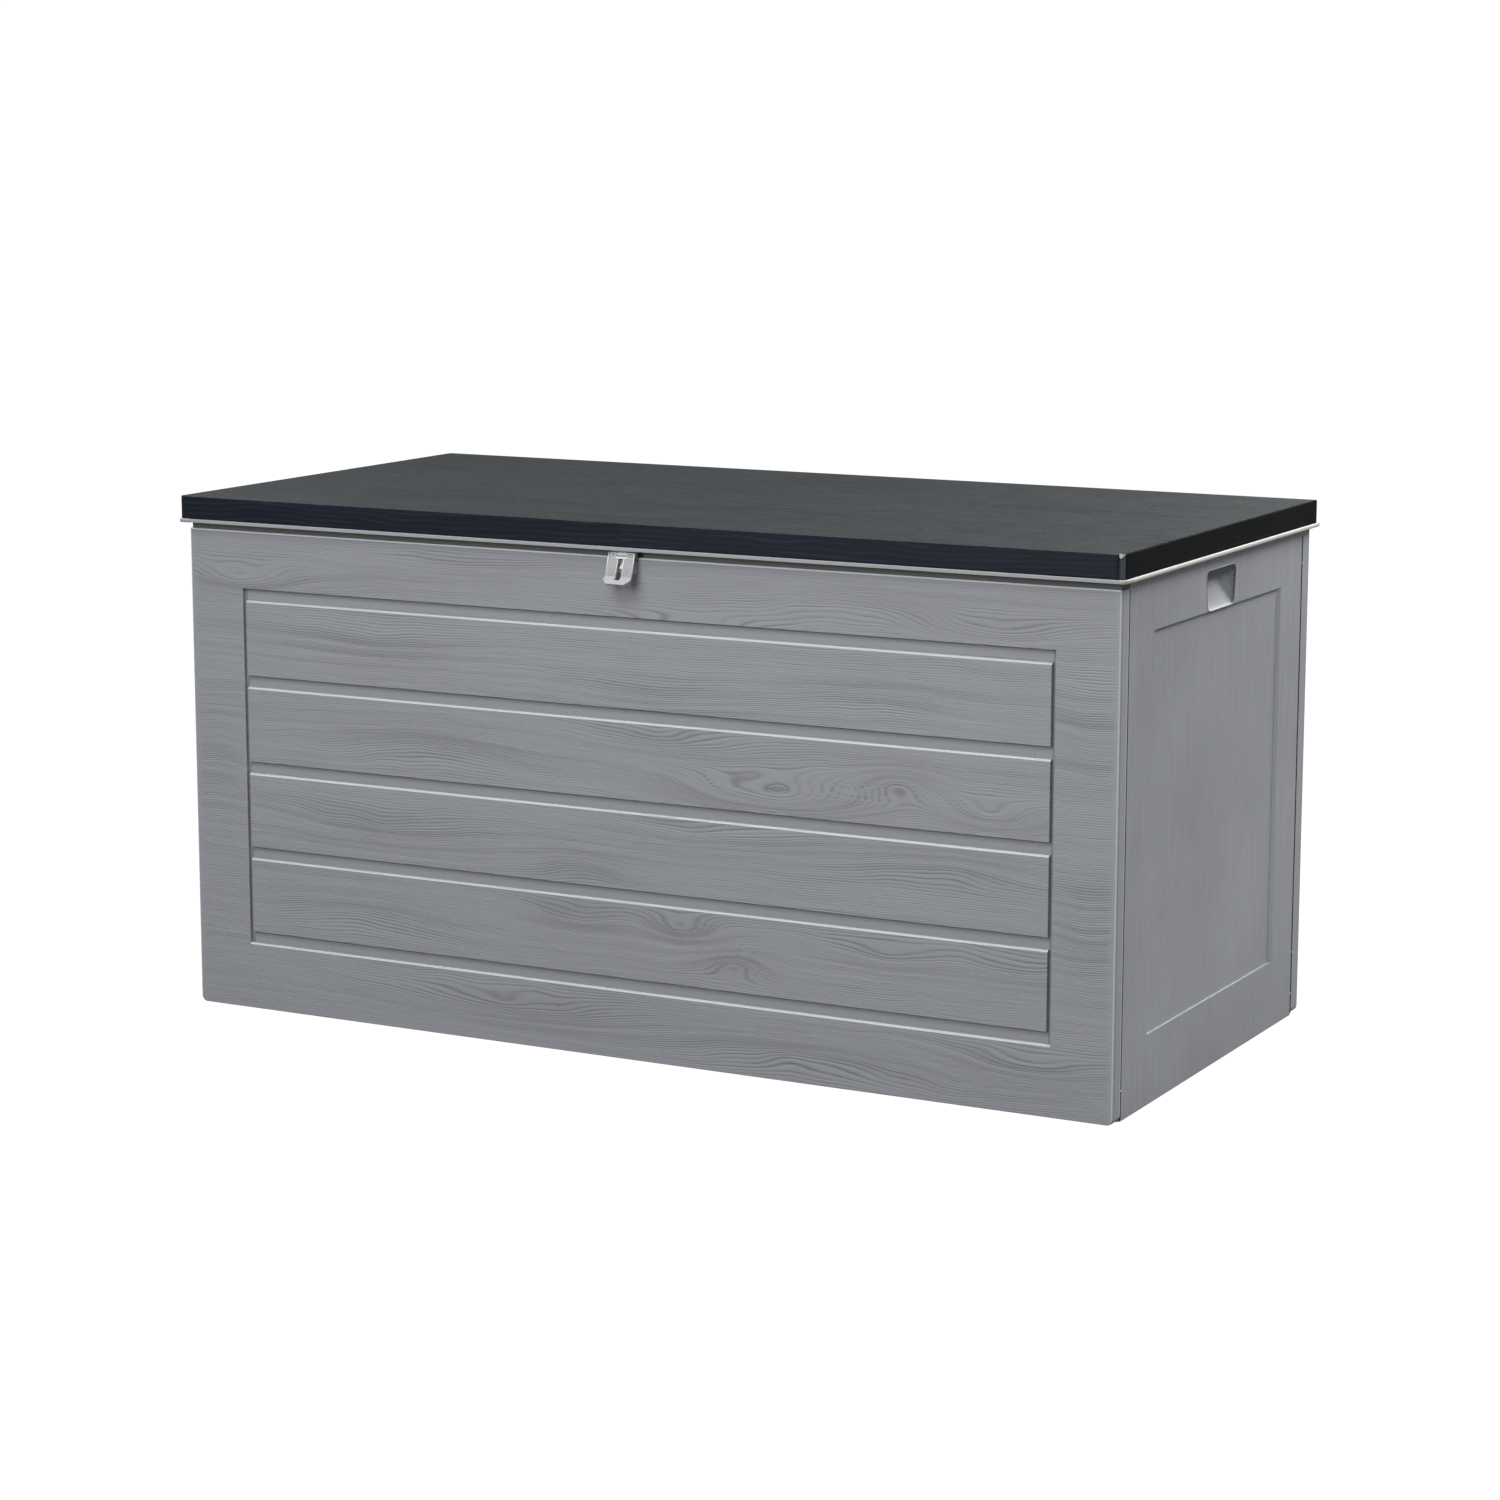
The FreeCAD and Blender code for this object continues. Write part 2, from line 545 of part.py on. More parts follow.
def make_side_panel(label, sign):
    body = new_body(label)
    inner, outer = ordered(sign, "side_inner", "side_face")
    pad(body, "YZ", inner, outer, [box_loop("front_seam + fit_gap", "back_seam - fit_gap", "0", "wall_top")])
    inner, outer = ordered(sign, "side_inner", "side_face - skin - fit_gap")
    for low, high in (("side_front", "front_seam + fit_gap"), ("back_seam - fit_gap", "side_back")):
        pad(body, "YZ", inner, outer, [box_loop(low, high, "0", "wall_top")])
    inner, outer = ordered(sign, "side_face - field_depth", "side_face")
    pocket(body, "YZ", inner, outer, [box_loop("field_front", "field_back", "field_low", "field_high")])
    # Upright rib cells open to the inside, their floor stepped at the sunk field
    rows = [("skin", "field_low - skin"), ("field_high + skin", "wall_top - skin")]
    mouth, deep, shallow = (f"{sign} * ({x})" for x in ("side_inner", "side_face - skin",
                                                        "side_face - field_depth - skin"))
    hollow(body, "XZ", "field_front + skin", "field_back - skin", "side_columns",
           stepped(mouth, deep, shallow, rows))
    inner, outer = ordered(sign, "side_inner", "side_face - 2 * skin - fit_gap")
    rows = cell_rows("skin", "wall_top - skin", 2)
    for low, high in (("side_front + skin", "field_front - skin"), ("field_back + skin", "side_back - skin")):
        pocket(body, "YZ", inner, outer, [box_loop(low, high, bottom, top) for bottom, top in rows])
    add_handle(body, sign)
    # Solid pad that carries the strut's lower bracket
    inner, outer = ordered(sign, "side_inner", "side_face - 2 * skin - fit_gap")
    y, z = foot_place()
    boss = box_loop(f"{y} - strut_pad", f"{y} + strut_pad", f"{z} - pad_tall", f"{z} + pad_tall")
    pad(body, "YZ", inner, outer, [boss])
    inner, outer = ordered(sign, "side_inner - ledge_reach", "side_inner")
    ledge = box_loop("side_front + ledge_reach + skin", "side_back - ledge_reach - skin",
                     "floor_level - fit_gap - skin", "floor_level - fit_gap")
    pad(body, "YZ", inner, outer, [ledge])
    inner, outer = ordered(sign, "side_inner", "side_inner + screw_length")
    pocket(body, "YZ", inner, outer, [screw_hole(y, z) for y, z in foot_screws()])
    for low, high in (("side_front", "side_front + skin"), ("side_back - skin", "side_back")):
        holes = [peg_outline(sign, z, "peg_half + pin_gap") for z in peg_heights()]
        pocket(body, "XZ", low, high, holes)
    return body


def add_handle(body, sign):
    """A closed scoop behind the wall, hollowed from outside, with rounded corners and floor."""
    inner, outer = ordered(sign, "side_face - handle_deep - skin", "side_face - skin")
    pad(body, "YZ", inner, outer, [Rounded(handle_outline("skin"), "handle_corner + skin")])
    inner, outer = ordered(sign, "side_face - handle_deep", "side_face")
    pocket(body, "YZ", inner, outer, [Rounded(handle_outline("0"), "handle_corner")])
    bottom, top, reach = value("handle_low - skin"), value("handle_high + skin"), value("handle_wide + skin")

    def in_handle(edge):
        middle = edge.CenterOfMass
        return bottom - 0.1 < middle.z < top + 0.1 and abs(middle.y) < reach + 0.1

    floor = sign * value("side_face - handle_deep")
    soften(body, "Fillet", "handle_round", lambda edge: near(edge.CenterOfMass.x, floor)
           and near(edge.BoundBox.XLength, 0) and in_handle(edge))


def ordered(sign, inner, outer):
    """Mirrors a pair of X coordinates for the left side."""
    if sign > 0:
        return inner, outer
    return f"-({outer})", f"-({inner})"


def handle_outline(grow):
    """The pocket's outline in Y and Z, narrower at the bottom."""
    return [
        (f"-handle_narrow - {grow}", f"handle_low - {grow}"),
        (f"handle_narrow + {grow}", f"handle_low - {grow}"),
        (f"handle_wide + {grow}", f"handle_high + {grow}"),
        (f"-handle_wide - {grow}", f"handle_high + {grow}"),
    ]


# Pegs that lock the corners


def peg_outline(sign, z, half):
    """A square about a peg's middle."""
    return box_loop(*ordered(sign, f"peg_x - ({half})", f"peg_x + ({half})"), f"{z} - ({half})", f"{z} + ({half})")


def peg_heights():
    return ["0.12 * wall_top", "0.88 * wall_top"]


def add_peg_holes(body, low, high):
    """Bores at both ends of the front or back panel take the corner pegs."""
    for sign in (-1, 1):
        holes = [peg_outline(sign, z, "peg_half + pin_gap") for z in peg_heights()]
        pocket(body, "XZ", low, high, holes)


def make_corner_pegs(label, sign, where):
    """Headed pegs through the side panel's end wall into the front or back panel."""
    body = new_body(label)
    if where == "front":
        shank = ("front_inner - peg_reach", "side_front + skin")
        head = ("side_front + skin", "side_front + 2 * skin")
    else:
        shank = ("side_back - skin", "back_inner + peg_reach")
        head = ("side_back - 2 * skin", "side_back - skin")
    pad(body, "XZ", *shank, [peg_outline(sign, z, "peg_half") for z in peg_heights()])
    pad(body, "XZ", *head, [peg_outline(sign, z, "peg_head") for z in peg_heights()])
    return body


# Floor


def make_floor_panel():
    body = new_body("floor_panel")
    wide, deep = "side_inner - fit_gap", "back_inner - fit_gap"
    pad(body, "XY", "floor_level", "floor_level + skin", [box_loop(f"-({wide})", wide, f"-({deep})", deep)])
    inset = "ledge_reach + 2 * skin"
    rim = box_loop(f"-({wide} - ({inset}))", f"{wide} - ({inset})", f"-({deep} - ({inset}))",
                   f"{deep} - ({inset})")
    pad(body, "XY", "0", "floor_level", [rim])
    # Rib cells, open underneath
    span_x = f"2 * ({wide} - ({inset}) - skin) + rib"
    span_y = f"2 * ({deep} - ({inset}) - skin) + rib"
    low_x = f"-({wide} - ({inset})) + skin"
    low_y = f"-({deep} - ({inset})) + skin"
    pitch = f"({span_x}) / floor_columns"
    column = [box_loop(low_x, f"{low_x} + {pitch} - rib", start, end)
              for start, end in cell_rows(low_y, f"{low_y} + {span_y} - rib", 3)]
    cells = pocket(body, "XY", "0", "floor_level", column)
    repeat(body, cells, "X_Axis", pitch, "floor_columns")
    pad(body, "XY", "0", "floor_level", [("0", "0", "floor_foot")])
    return body


# Lid shell and liner


def lid_screw_places():
    """Two rows of screws that hold the liner to the shell."""
    rows = []
    for along_y in ("-0.6 * hat_front", "0.6 * hat_back"):
        rows += [(f"{share} * hat_half_width", along_y) for share in (-0.55, 0.55)]
    return rows


def make_lid_shell():
    body = new_body("lid_shell")
    wide = "shell_side"
    pad(body, "XY", "rim_high", "shell_top", [box_loop(f"-{wide}", wide, "shell_front", "shell_back")])
    top = value("shell_top")
    soften(body, "Fillet", "lid_round", lambda edge: near(edge.CenterOfMass.z, top))
    cut = "corner_cut"
    inside = [
        (f"-{wide} + {cut} + skin", "shell_front + skin"),
        (f"{wide} - {cut} - skin", "shell_front + skin"),
        (f"{wide} - skin", f"shell_front + {cut} + skin"),
        (f"{wide} - skin", "shell_back - skin"),
        (f"-{wide} + skin", "shell_back - skin"),
        (f"-{wide} + skin", f"shell_front + {cut} + skin"),
    ]
    pocket(body, "XY", "rim_high", "shell_top - skin", [inside])
    # The skirts meet in a narrow upright notch at each front corner
    for sign in (-1, 1):
        notch = [(f"{sign} * ({wide} - notch_reach)", "shell_front - overlap"),
                 (f"{sign} * ({wide} - notch_reach)", "shell_front + notch_depth"),
                 (f"{sign} * ({wide} - notch_depth)", "shell_front + notch_reach"),
                 (f"{sign} * ({wide} + overlap)", "shell_front + notch_reach"),
                 (f"{sign} * ({wide} + overlap)", "shell_front - overlap")]
        pocket(body, "XY", "rim_high", "shell_top", [notch])
    posts = [box_loop(f"{x} - boss_half", f"{x} + boss_half", f"{y} - boss_half", f"{y} + boss_half")
             for x, y in lid_screw_places()]
    pad(body, "XY", "hat_top + fit_gap", "shell_top - skin", posts)
    holes = [screw_hole(x, y) for x, y in lid_screw_places()]
    pocket(body, "XY", "hat_top + fit_gap", "lid_screw_tip + fit_gap", holes)
    holes = []
    for middle in hinge_middles():
        holes += [screw_hole(x, z) for x, z in upper_leaf_screws(middle)]
    pocket(body, "XZ", "shell_back - skin", "shell_back", holes)
    return body


def make_lid_liner():
    body = new_body("lid_liner")
    wide, front, back = "shell_side + rim_reach", "shell_front - rim_reach", "shell_back + rim_reach"
    cut = "corner_cut"
    rim = [
        (f"-({wide}) + {cut}", front),
        (f"{wide} - {cut}", front),
        (wide, f"{front} + {cut}"),
        (wide, back),
        (f"-({wide})", back),
        (f"-({wide})", f"{front} + {cut}"),
    ]
    pad(body, "XY", "rim_low", "rim_high - fit_gap", [rim])
    hat = box_loop("-hat_half_width", "hat_half_width", "-hat_front", "hat_back")
    pad(body, "XY", "rim_high - fit_gap", "hat_top", [hat])
    under = box_loop("-hat_half_width + skin", "hat_half_width - skin", "-hat_front + skin", "hat_back - skin")
    pocket(body, "XY", "rim_low", "hat_under", [under])
    # Ribs run from front to back under the raised middle
    rib = box_loop("-hat_half_width + skin + rib_pitch - rib / 2", "-hat_half_width + skin + rib_pitch + rib / 2",
                   "-hat_front + skin", "hat_back - skin")
    first = pad(body, "XY", "hat_under - lid_rib_drop", "hat_under", [rib])
    repeat(body, first, "X_Axis", "rib_pitch", "lid_ribs")
    pocket(body, "XY", "hat_under", "hat_top", [screw_hole(x, y) for x, y in lid_screw_places()])
    # Notches let the hinge leaves pass the rim
    notches = []
    for middle in hinge_middles():
        reach = "hinge_half + overlap"
        notches.append(box_loop(f"{middle} - ({reach})", f"{middle} + {reach}", "shell_back", f"{back} + overlap"))
    pocket(body, "XY", "rim_low", "rim_high - fit_gap", notches)
    screws = [screw_hole(x, y) for x, y in head_screws()]
    screws += [screw_hole(x, y) for x, y in bracket_screws()]
    pocket(body, "XY", "rim_low", "rim_high - fit_gap", screws)
    return body


# Hinges


def hinge_middles():
    return ["-hinge_spread", "0", "hinge_spread"]


def lower_leaf_screws(middle):
    return [(f"{middle} - 0.62 * hinge_half", "axis_height - 0.6 * leaf_drop"),
            (f"{middle} + 0.62 * hinge_half", "axis_height - 0.6 * leaf_drop")]


def upper_leaf_screws(middle):
    return [(f"{middle} - 0.62 * hinge_half", "axis_height + 0.7 * leaf_rise"),
            (f"{middle} + 0.62 * hinge_half", "axis_height + 0.7 * leaf_rise")]


def make_lower_leaf(label, middle):
    """Plate on the back wall with the two outer knuckles."""
    body = new_body(label)
    low, high = f"{middle} - hinge_half", f"{middle} + hinge_half"
    plate = box_loop(low, high, "axis_height - leaf_drop", "axis_height - leaf_shoulder")
    pad(body, "XZ", "leaf_low_y", "leaf_low_y + leaf", [plate])
    for start, end in ((low, f"{middle} - knuckle_half - fit_gap"), (f"{middle} + knuckle_half + fit_gap", high)):
        arm = [("leaf_low_y", "axis_height - leaf_arm"), ("leaf_low_y + leaf", "axis_height - leaf_arm"),
               ("axis_y", "axis_height - knuckle_radius + fit_gap"), ("axis_y", "axis_height"),
               ("axis_y - knuckle_radius + fit_gap", "axis_height")]
        pad(body, "YZ", start, end, [arm])
        pad(body, "YZ", start, end, [("axis_y", "axis_height", "knuckle_radius")])
    pocket(body, "YZ", low, high, [("axis_y", "axis_height", "pin_radius + pin_gap")])
    screws = [screw_hole(x, z) for x, z in lower_leaf_screws(middle)]
    pocket(body, "XZ", "leaf_low_y", "leaf_low_y + leaf", screws)
    bottom = value("axis_height - leaf_drop")
    soften(body, "Chamfer", "leaf_corner", lambda edge: along(edge, V(0, 1, 0))
           and near(edge.CenterOfMass.z, bottom))
    return body


def make_upper_leaf(label, middle):
    """Plate on the lid's back skirt with the middle knuckle."""
    body = new_body(label)
    low, high = f"{middle} - hinge_half", f"{middle} + hinge_half"
    plate = box_loop(low, high, "rim_low + overlap", "axis_height + leaf_rise")
    pad(body, "XZ", "leaf_up_y", "leaf_up_y + leaf", [plate])
    start, end = f"{middle} - knuckle_half", f"{middle} + knuckle_half"
    neck = box_loop(start, end, "axis_height", "rim_low + 2 * overlap")
    pad(body, "XZ", "leaf_up_y", "leaf_up_y + leaf", [neck])
    pad(body, "YZ", start, end, [("axis_y", "axis_height", "knuckle_radius")])
    pocket(body, "YZ", start, end, [("axis_y", "axis_height", "pin_radius + pin_gap")])
    screws = [screw_hole(x, z) for x, z in upper_leaf_screws(middle)]
    pocket(body, "XZ", "leaf_up_y", "leaf_up_y + leaf", screws)
    top = value("axis_height + leaf_rise")
    soften(body, "Chamfer", "leaf_corner", lambda edge: along(edge, V(0, 1, 0)) and near(edge.CenterOfMass.z, top))
    return body


def make_hinge_pin(label, middle):
    body = new_body(label)
    low, high = f"{middle} - hinge_half - pin_tip", f"{middle} + hinge_half + pin_tip"
    pad(body, "YZ", low, high, [("axis_y", "axis_height", "pin_radius")])
    return body


# Screws


def prism(radius, low, high):
    """A six-sided bar about the Z axis."""
    turns = [(index + 0.5) * 2 * math.pi / SCREW_SIDES for index in range(SCREW_SIDES)]
    corners = [V(radius * math.cos(turn), radius * math.sin(turn), low) for turn in turns]
    return Part.Face(Part.makePolygon(corners + corners[:1])).extrude(V(0, 0, high - low))


def screw_shape(length):
    """A pan-head screw whose head's underside is at the origin and whose shank runs to -Z."""
    head = prism(value("screw_head"), 0, value("screw_cap"))
    return head.fuse(prism(value("screw_radius"), -length, 0)).removeSplitter().Solids[0]


def make_screws(label, places, out, length="screw_length"):
    """One node of equal screws. The heads look along out."""
    turn = FreeCAD.Rotation(V(0, 0, 1), V(*out))
    shape = screw_shape(value(length))
    solids = []
    for place in places:
        solid = shape.copy()
        solid.Placement = FreeCAD.Placement(V(*[value(number) for number in place]), turn)
        solids.append(solid)
    item = doc.addObject("Part::Feature", label)
    item.Label = label
    item.Shape = Part.makeCompound(solids)
    parts.append(item)
    return item


# Gas struts


def strut_ends():
    """The lower stud on the side wall and the upper stud on the lid, in Y and Z, when shut."""
    droop = math.radians(180 + value("strut_droop"))
    foot = droop + math.radians(value("strut_wedge"))
    arm, y, z = value("strut_arm"), value("axis_y"), value("axis_height")
    lower = (y + arm * math.cos(foot), z + arm * math.sin(foot))
    upper = (y + arm * math.cos(droop), z + arm * math.sin(droop))
    return lower, upper


def foot_place():
    return ("(axis_y + strut_arm * cos((180 + strut_droop + strut_wedge) * 1deg))",
            "(axis_height + strut_arm * sin((180 + strut_droop + strut_wedge) * 1deg))")


def head_place():
    return ("(axis_y + strut_arm * cos((180 + strut_droop) * 1deg))",
            "(axis_height + strut_arm * sin((180 + strut_droop) * 1deg))")


def foot_screws():
    y, z = foot_place()
    return [(y, f"{z} + bracket_screw"), (y, f"{z} - bracket_screw")]


def head_screws():
    """Screws of both upper brackets, seen from below."""
    y = head_place()[0]
    places = []
    for sign in (-1, 1):
        for shift in ("- bracket_screw", "+ bracket_screw"):
            places.append((f"{sign} * (strut_x - 3)", f"{y} {shift}"))
    return places


def place_strut(body, sign):
    """Turns a piece made along Z at the origin into the strut's line at rest."""
    lower, upper = strut_ends()
    line = V(0, upper[0] - lower[0], upper[1] - lower[1])
    turn = FreeCAD.Rotation(V(0, 0, 1), line)
    body.Placement = FreeCAD.Placement(V(sign * value("strut_x"), *lower), turn)


def make_strut_tube(label, sign):
    body = new_body(label)
    inner = "tube_radius - tube_wall"
    outline = [("tube_radius", "tube_mouth"), ("tube_radius", "tube_end - tube_bevel"),
               ("tube_radius - tube_bevel", "tube_end"),
               ("0", "tube_end"), ("0", "tube_end - tube_wall"), (inner, "tube_end - tube_wall"),
               (inner, "tube_mouth")]
    spin(body, "Revolution", "XZ", "V_Axis", outline)
    place_strut(body, sign)
    return body


def make_strut_gland(label, sign):
    """Guide and seal in the tube's mouth."""
    body = new_body(label)
    outer, inner = "tube_radius - tube_wall - pin_gap", "rod_radius + pin_gap"
    outline = box_loop(inner, outer, "tube_mouth", "tube_mouth + gland_length")
    spin(body, "Revolution", "XZ", "V_Axis", outline)
    place_strut(body, sign)
    return body


def make_strut_rod(label, sign):
    body = new_body(label)
    outline = [("0", "stem_reach - rod_grip"), ("rod_radius", "stem_reach - rod_grip"),
               ("rod_radius", "piston_top - piston_length"), ("0", "piston_top - piston_length")]
    spin(body, "Revolution", "XZ", "V_Axis", outline)
    place_strut(body, sign)
    return body


def make_strut_piston(label, sign):
    body = new_body(label)
    outline = box_loop("0", "tube_radius - tube_wall - fit_gap", "piston_top - piston_length", "piston_top")
    spin(body, "Revolution", "XZ", "V_Axis", outline)
    place_strut(body, sign)
    return body


def make_eye(label, sign, upper):
    """End fitting: an eye across the strut and a stem along it."""
    body = new_body(label)
    centre = "strut_shut" if upper else "0"
    low, high = ("tube_end", f"{centre} - stud_radius") if upper else ("stud_radius", "stem_reach")
    pad(body, "YZ", "-stem_half", "stem_half", [box_loop("-stem_half", "stem_half", low, high)])
    pad(body, "YZ", "-eye_half", "eye_half", [("0", centre, "eye_radius")])
    pocket(body, "YZ", "-eye_half", "eye_half", [("0", centre, "stud_radius + pin_gap")])
    if not upper:
        pocket(body, "XY", "stem_reach - rod_grip", "stem_reach", [("0", "0", "rod_radius + pin_gap")])
    place_strut(body, sign)
    return body


def add_stud(body, sign, y, z, root):
    """A shouldered stud from the plate at root to the far side of the strut's eye."""
    shoulder = hexagon(y, z, "stud_radius + collar")
    steps = [("strut_x + eye_half + fit_gap", root, shoulder),
             ("strut_x - eye_half - fit_gap", "strut_x + eye_half + fit_gap", (y, z, "stud_radius")),
             ("strut_x - eye_half - fit_gap - stud_head", "strut_x - eye_half - fit_gap", shoulder)]
    for near_end, far_end, outline in steps:
        low, high = ordered(sign, near_end, far_end)
        pad(body, "YZ", low, high, [outline])


def make_foot_bracket(label, sign):
    """Plate on the side wall with the lower stud."""
    body = new_body(label)
    y, z = foot_place()
    inner, outer = ordered(sign, "side_inner - fit_gap - plate", "side_inner - fit_gap")
    outline = box_loop(f"{y} - bracket_half", f"{y} + bracket_half", f"{z} - bracket_reach", f"{z} + bracket_reach")
    pad(body, "YZ", inner, outer, [outline])
    pocket(body, "YZ", inner, outer, [screw_hole(a, b) for a, b in foot_screws()])
    add_stud(body, sign, y, z, "side_inner - fit_gap - plate")
    return body


def make_head_bracket(label, sign):
    """Angle under the liner's flange with the upper stud."""
    body = new_body(label)
    y, z = head_place()
    low, high = ordered(sign, "strut_x - bracket_half", "side_inner - 2 * plate")
    flange = box_loop(low, high, f"{y} - bracket_reach", f"{y} + bracket_reach")
    pad(body, "XY", "rim_low - fit_gap - plate", "rim_low - fit_gap", [flange])
    low, high = ordered(sign, "side_inner - 3 * plate", "side_inner - 2 * plate")
    cheek = [(f"{y} - bracket_half", f"{z} - cheek_drop"), (f"{y} + bracket_half", f"{z} - cheek_drop"),
             (f"{y} + strut_pad", "rim_low - fit_gap"), (f"{y} - strut_pad", "rim_low - fit_gap")]
    pad(body, "YZ", low, high, [cheek])
    screws = [place for place in head_screws() if (value(place[0]) > 0) == (sign > 0)]
    pocket(body, "XY", "rim_low - fit_gap - plate", "rim_low - fit_gap", [screw_hole(a, b) for a, b in screws])
    add_stud(body, sign, y, z, "side_inner - 3 * plate")
    return body


# Hasp and staple


def staple_screw_places():
    return [("-0.68 * staple_half", "staple_top - 0.5 * staple_height"),
            ("0.68 * staple_half", "staple_top - 0.5 * staple_height")]


def bracket_screws():
    return [("-0.66 * hasp_half", "bracket_screw_y"), ("0.66 * hasp_half", "bracket_screw_y")]


def make_staple():
    """Base on the front wall with the snap hook."""
    body = new_body("latch_staple")
    low = "staple_top - staple_height"
    base = box_loop("-staple_half", "staple_half", low, "staple_top")
    pad(body, "XZ", "staple_out", "front_face - fit_gap", [Rounded(base, "staple_round")])
    screws = [screw_hole(x, z) for x, z in staple_screw_places()]
    pocket(body, "XZ", "staple_out", "front_face - fit_gap", screws)
    nose = "hook_high - overlap"
    hook = [("staple_out + overlap", "staple_top - overlap"), ("staple_out", "staple_top - overlap"),
            ("hook_tip", nose), ("hook_tip", f"{nose} - hook_nose"),
            ("staple_out - hook_belly", f"{nose} - hook_nose - hook_throat"),
            ("staple_out - hook_foot", f"{low} + overlap"), ("staple_out + overlap", f"{low} + overlap")]
    pad(body, "YZ", "-hook_half", "hook_half", [hook])
    return body


def make_hasp():
    """Drawn with its flat upright, then leaned out by its resting angle round its pin."""
    body = new_body("latch_hasp")
    wide = "hasp_half"
    face = "-hasp_barrel"
    # Plate and finger lip in one profile
    profile = [(face, "0"), (f"{face} + hasp_plate", "0"), (f"{face} + hasp_plate", "-hasp_drop"),
               (f"{face} + hasp_plate - hasp_flare", "-hasp_drop - hasp_lip"),
               (f"{face} - hasp_flare", "-hasp_drop - hasp_lip + 1.5"), (face, "-hasp_drop + 0.5")]
    pad(body, "YZ", f"-{wide}", wide, [profile])
    for low, high in ((f"-{wide}", "-ear_half - fit_gap"), ("ear_half + fit_gap", wide)):
        pad(body, "YZ", low, high, [("0", "0", "hasp_barrel")])
    # Room for the bracket's ear, then the slot for the hook
    gap = box_loop("-ear_half - fit_gap", "ear_half + fit_gap", "-hasp_barrel - 2.4", "hasp_barrel")
    pocket(body, "XZ", "-2 * hasp_barrel", "hasp_barrel", [gap])
    slot = box_loop("-slot_half", "slot_half", "-hasp_drop - 5", "-hasp_barrel")
    pocket(body, "XZ", "-4 * hasp_barrel", "hasp_barrel", [slot])
    pocket(body, "YZ", f"-{wide}", wide, [("0", "0", "hasp_pin + pin_gap")])
    # Two shallow cells at the top of the face
    cells = []
    for sign in (-1, 1):
        inner, outer = ordered(sign, "ear_half + 2", "hasp_half - 2")
        cells.append(box_loop(inner, outer, "-2.2", "1.4"))
    pocket(body, "XZ", "-hasp_barrel", "-hasp_barrel + hasp_cell", cells)
    bottom = value("-hasp_drop - hasp_lip")
    soften(body, "Chamfer", "hasp_corner", lambda edge: near(abs(edge.CenterOfMass.x), value("hasp_half"))
           and edge.Length < 4 and edge.CenterOfMass.z < bottom + 2)
    turn = FreeCAD.Rotation(V(-1, 0, 0), value("hasp_lean"))
    body.Placement = FreeCAD.Placement(V(0, value("hasp_axis_y"), value("hasp_axis_z")), turn)
    return body


def make_hasp_bracket():
    """Plate under the rim whose ear holds the hasp's pin."""
    body = new_body("latch_bracket")
    roof = box_loop("-hasp_half", "hasp_half", "hasp_axis_y + hasp_barrel + 1", "neck_face - 1.5")
    pad(body, "XY", "roof_low", "rim_low - fit_gap", [roof])
    ear = [("hasp_axis_y - hasp_barrel + 0.4", "hasp_axis_z"), ("hasp_axis_y", "hasp_axis_z - hasp_barrel + 0.4"),
           ("hasp_axis_y + hasp_barrel + 2", "hasp_axis_z"), ("hasp_axis_y + hasp_barrel + 5", "rim_low - fit_gap"),
           ("hasp_axis_y + 1", "rim_low - fit_gap"), ("hasp_axis_y - hasp_barrel + 0.4", "hasp_axis_z + 1.5")]
    pad(body, "YZ", "-ear_half", "ear_half", [ear])
    pocket(body, "YZ", "-ear_half", "ear_half", [("hasp_axis_y", "hasp_axis_z", "hasp_pin + pin_gap")])
    screws = [screw_hole(x, y) for x, y in bracket_screws()]
    pocket(body, "XY", "roof_low", "rim_low - fit_gap", screws)
    return body


def make_hasp_pin():
    body = new_body("latch_pin")
    pad(body, "YZ", "-hasp_half + 0.5", "hasp_half - 0.5", [("hasp_axis_y", "hasp_axis_z", "hasp_pin")])
    return body


# All pieces

make_front_panel()
make_back_panel()
make_side_panel("left_panel", -1)
make_side_panel("right_panel", 1)
make_floor_panel()
make_lid_shell()
make_lid_liner()
for side, sign in (("left", -1), ("right", 1)):
    for where in ("front", "back"):
        make_corner_pegs(f"corner_pegs_{where}_{side}", sign, where)
    make_foot_bracket(f"strut_foot_bracket_{side}", sign)
    make_head_bracket(f"strut_head_bracket_{side}", sign)
    make_eye(f"strut_rod_eye_{side}", sign, False)
    make_eye(f"strut_tube_eye_{side}", sign, True)
    make_strut_rod(f"strut_rod_{side}", sign)
    make_strut_piston(f"strut_piston_{side}", sign)
    make_strut_tube(f"strut_tube_{side}", sign)
    make_strut_gland(f"strut_gland_{side}", sign)
for name, middle in zip(("left", "middle", "right"), hinge_middles()):
    make_lower_leaf(f"hinge_lower_leaf_{name}", middle)
    make_upper_leaf(f"hinge_upper_leaf_{name}", middle)
    make_hinge_pin(f"hinge_pin_{name}", middle)
make_staple()
make_hasp()
make_hasp_bracket()
make_hasp_pin()

wall_screws = []
lid_leaf_screws = []
for middle in hinge_middles():
    wall_screws += [(x, "leaf_low_y + leaf", z) for x, z in lower_leaf_screws(middle)]
    lid_leaf_screws += [(x, "leaf_up_y + leaf", z) for x, z in upper_leaf_screws(middle)]
make_screws("hinge_wall_screws", wall_screws, (0, 1, 0))
make_screws("hinge_lid_screws", lid_leaf_screws, (0, 1, 0))
make_screws("lid_screws", [(x, y, "hat_under") for x, y in lid_screw_places()], (0, 0, -1))
make_screws("latch_staple_screws",
            [(x, "staple_out", z) for x, z in staple_screw_places()], (0, -1, 0))
make_screws("latch_bracket_screws", [(x, y, "roof_low") for x, y in bracket_screws()], (0, 0, -1))
make_screws("strut_head_screws", [(x, y, "rim_low - fit_gap - plate") for x, y in head_screws()], (0, 0, -1))
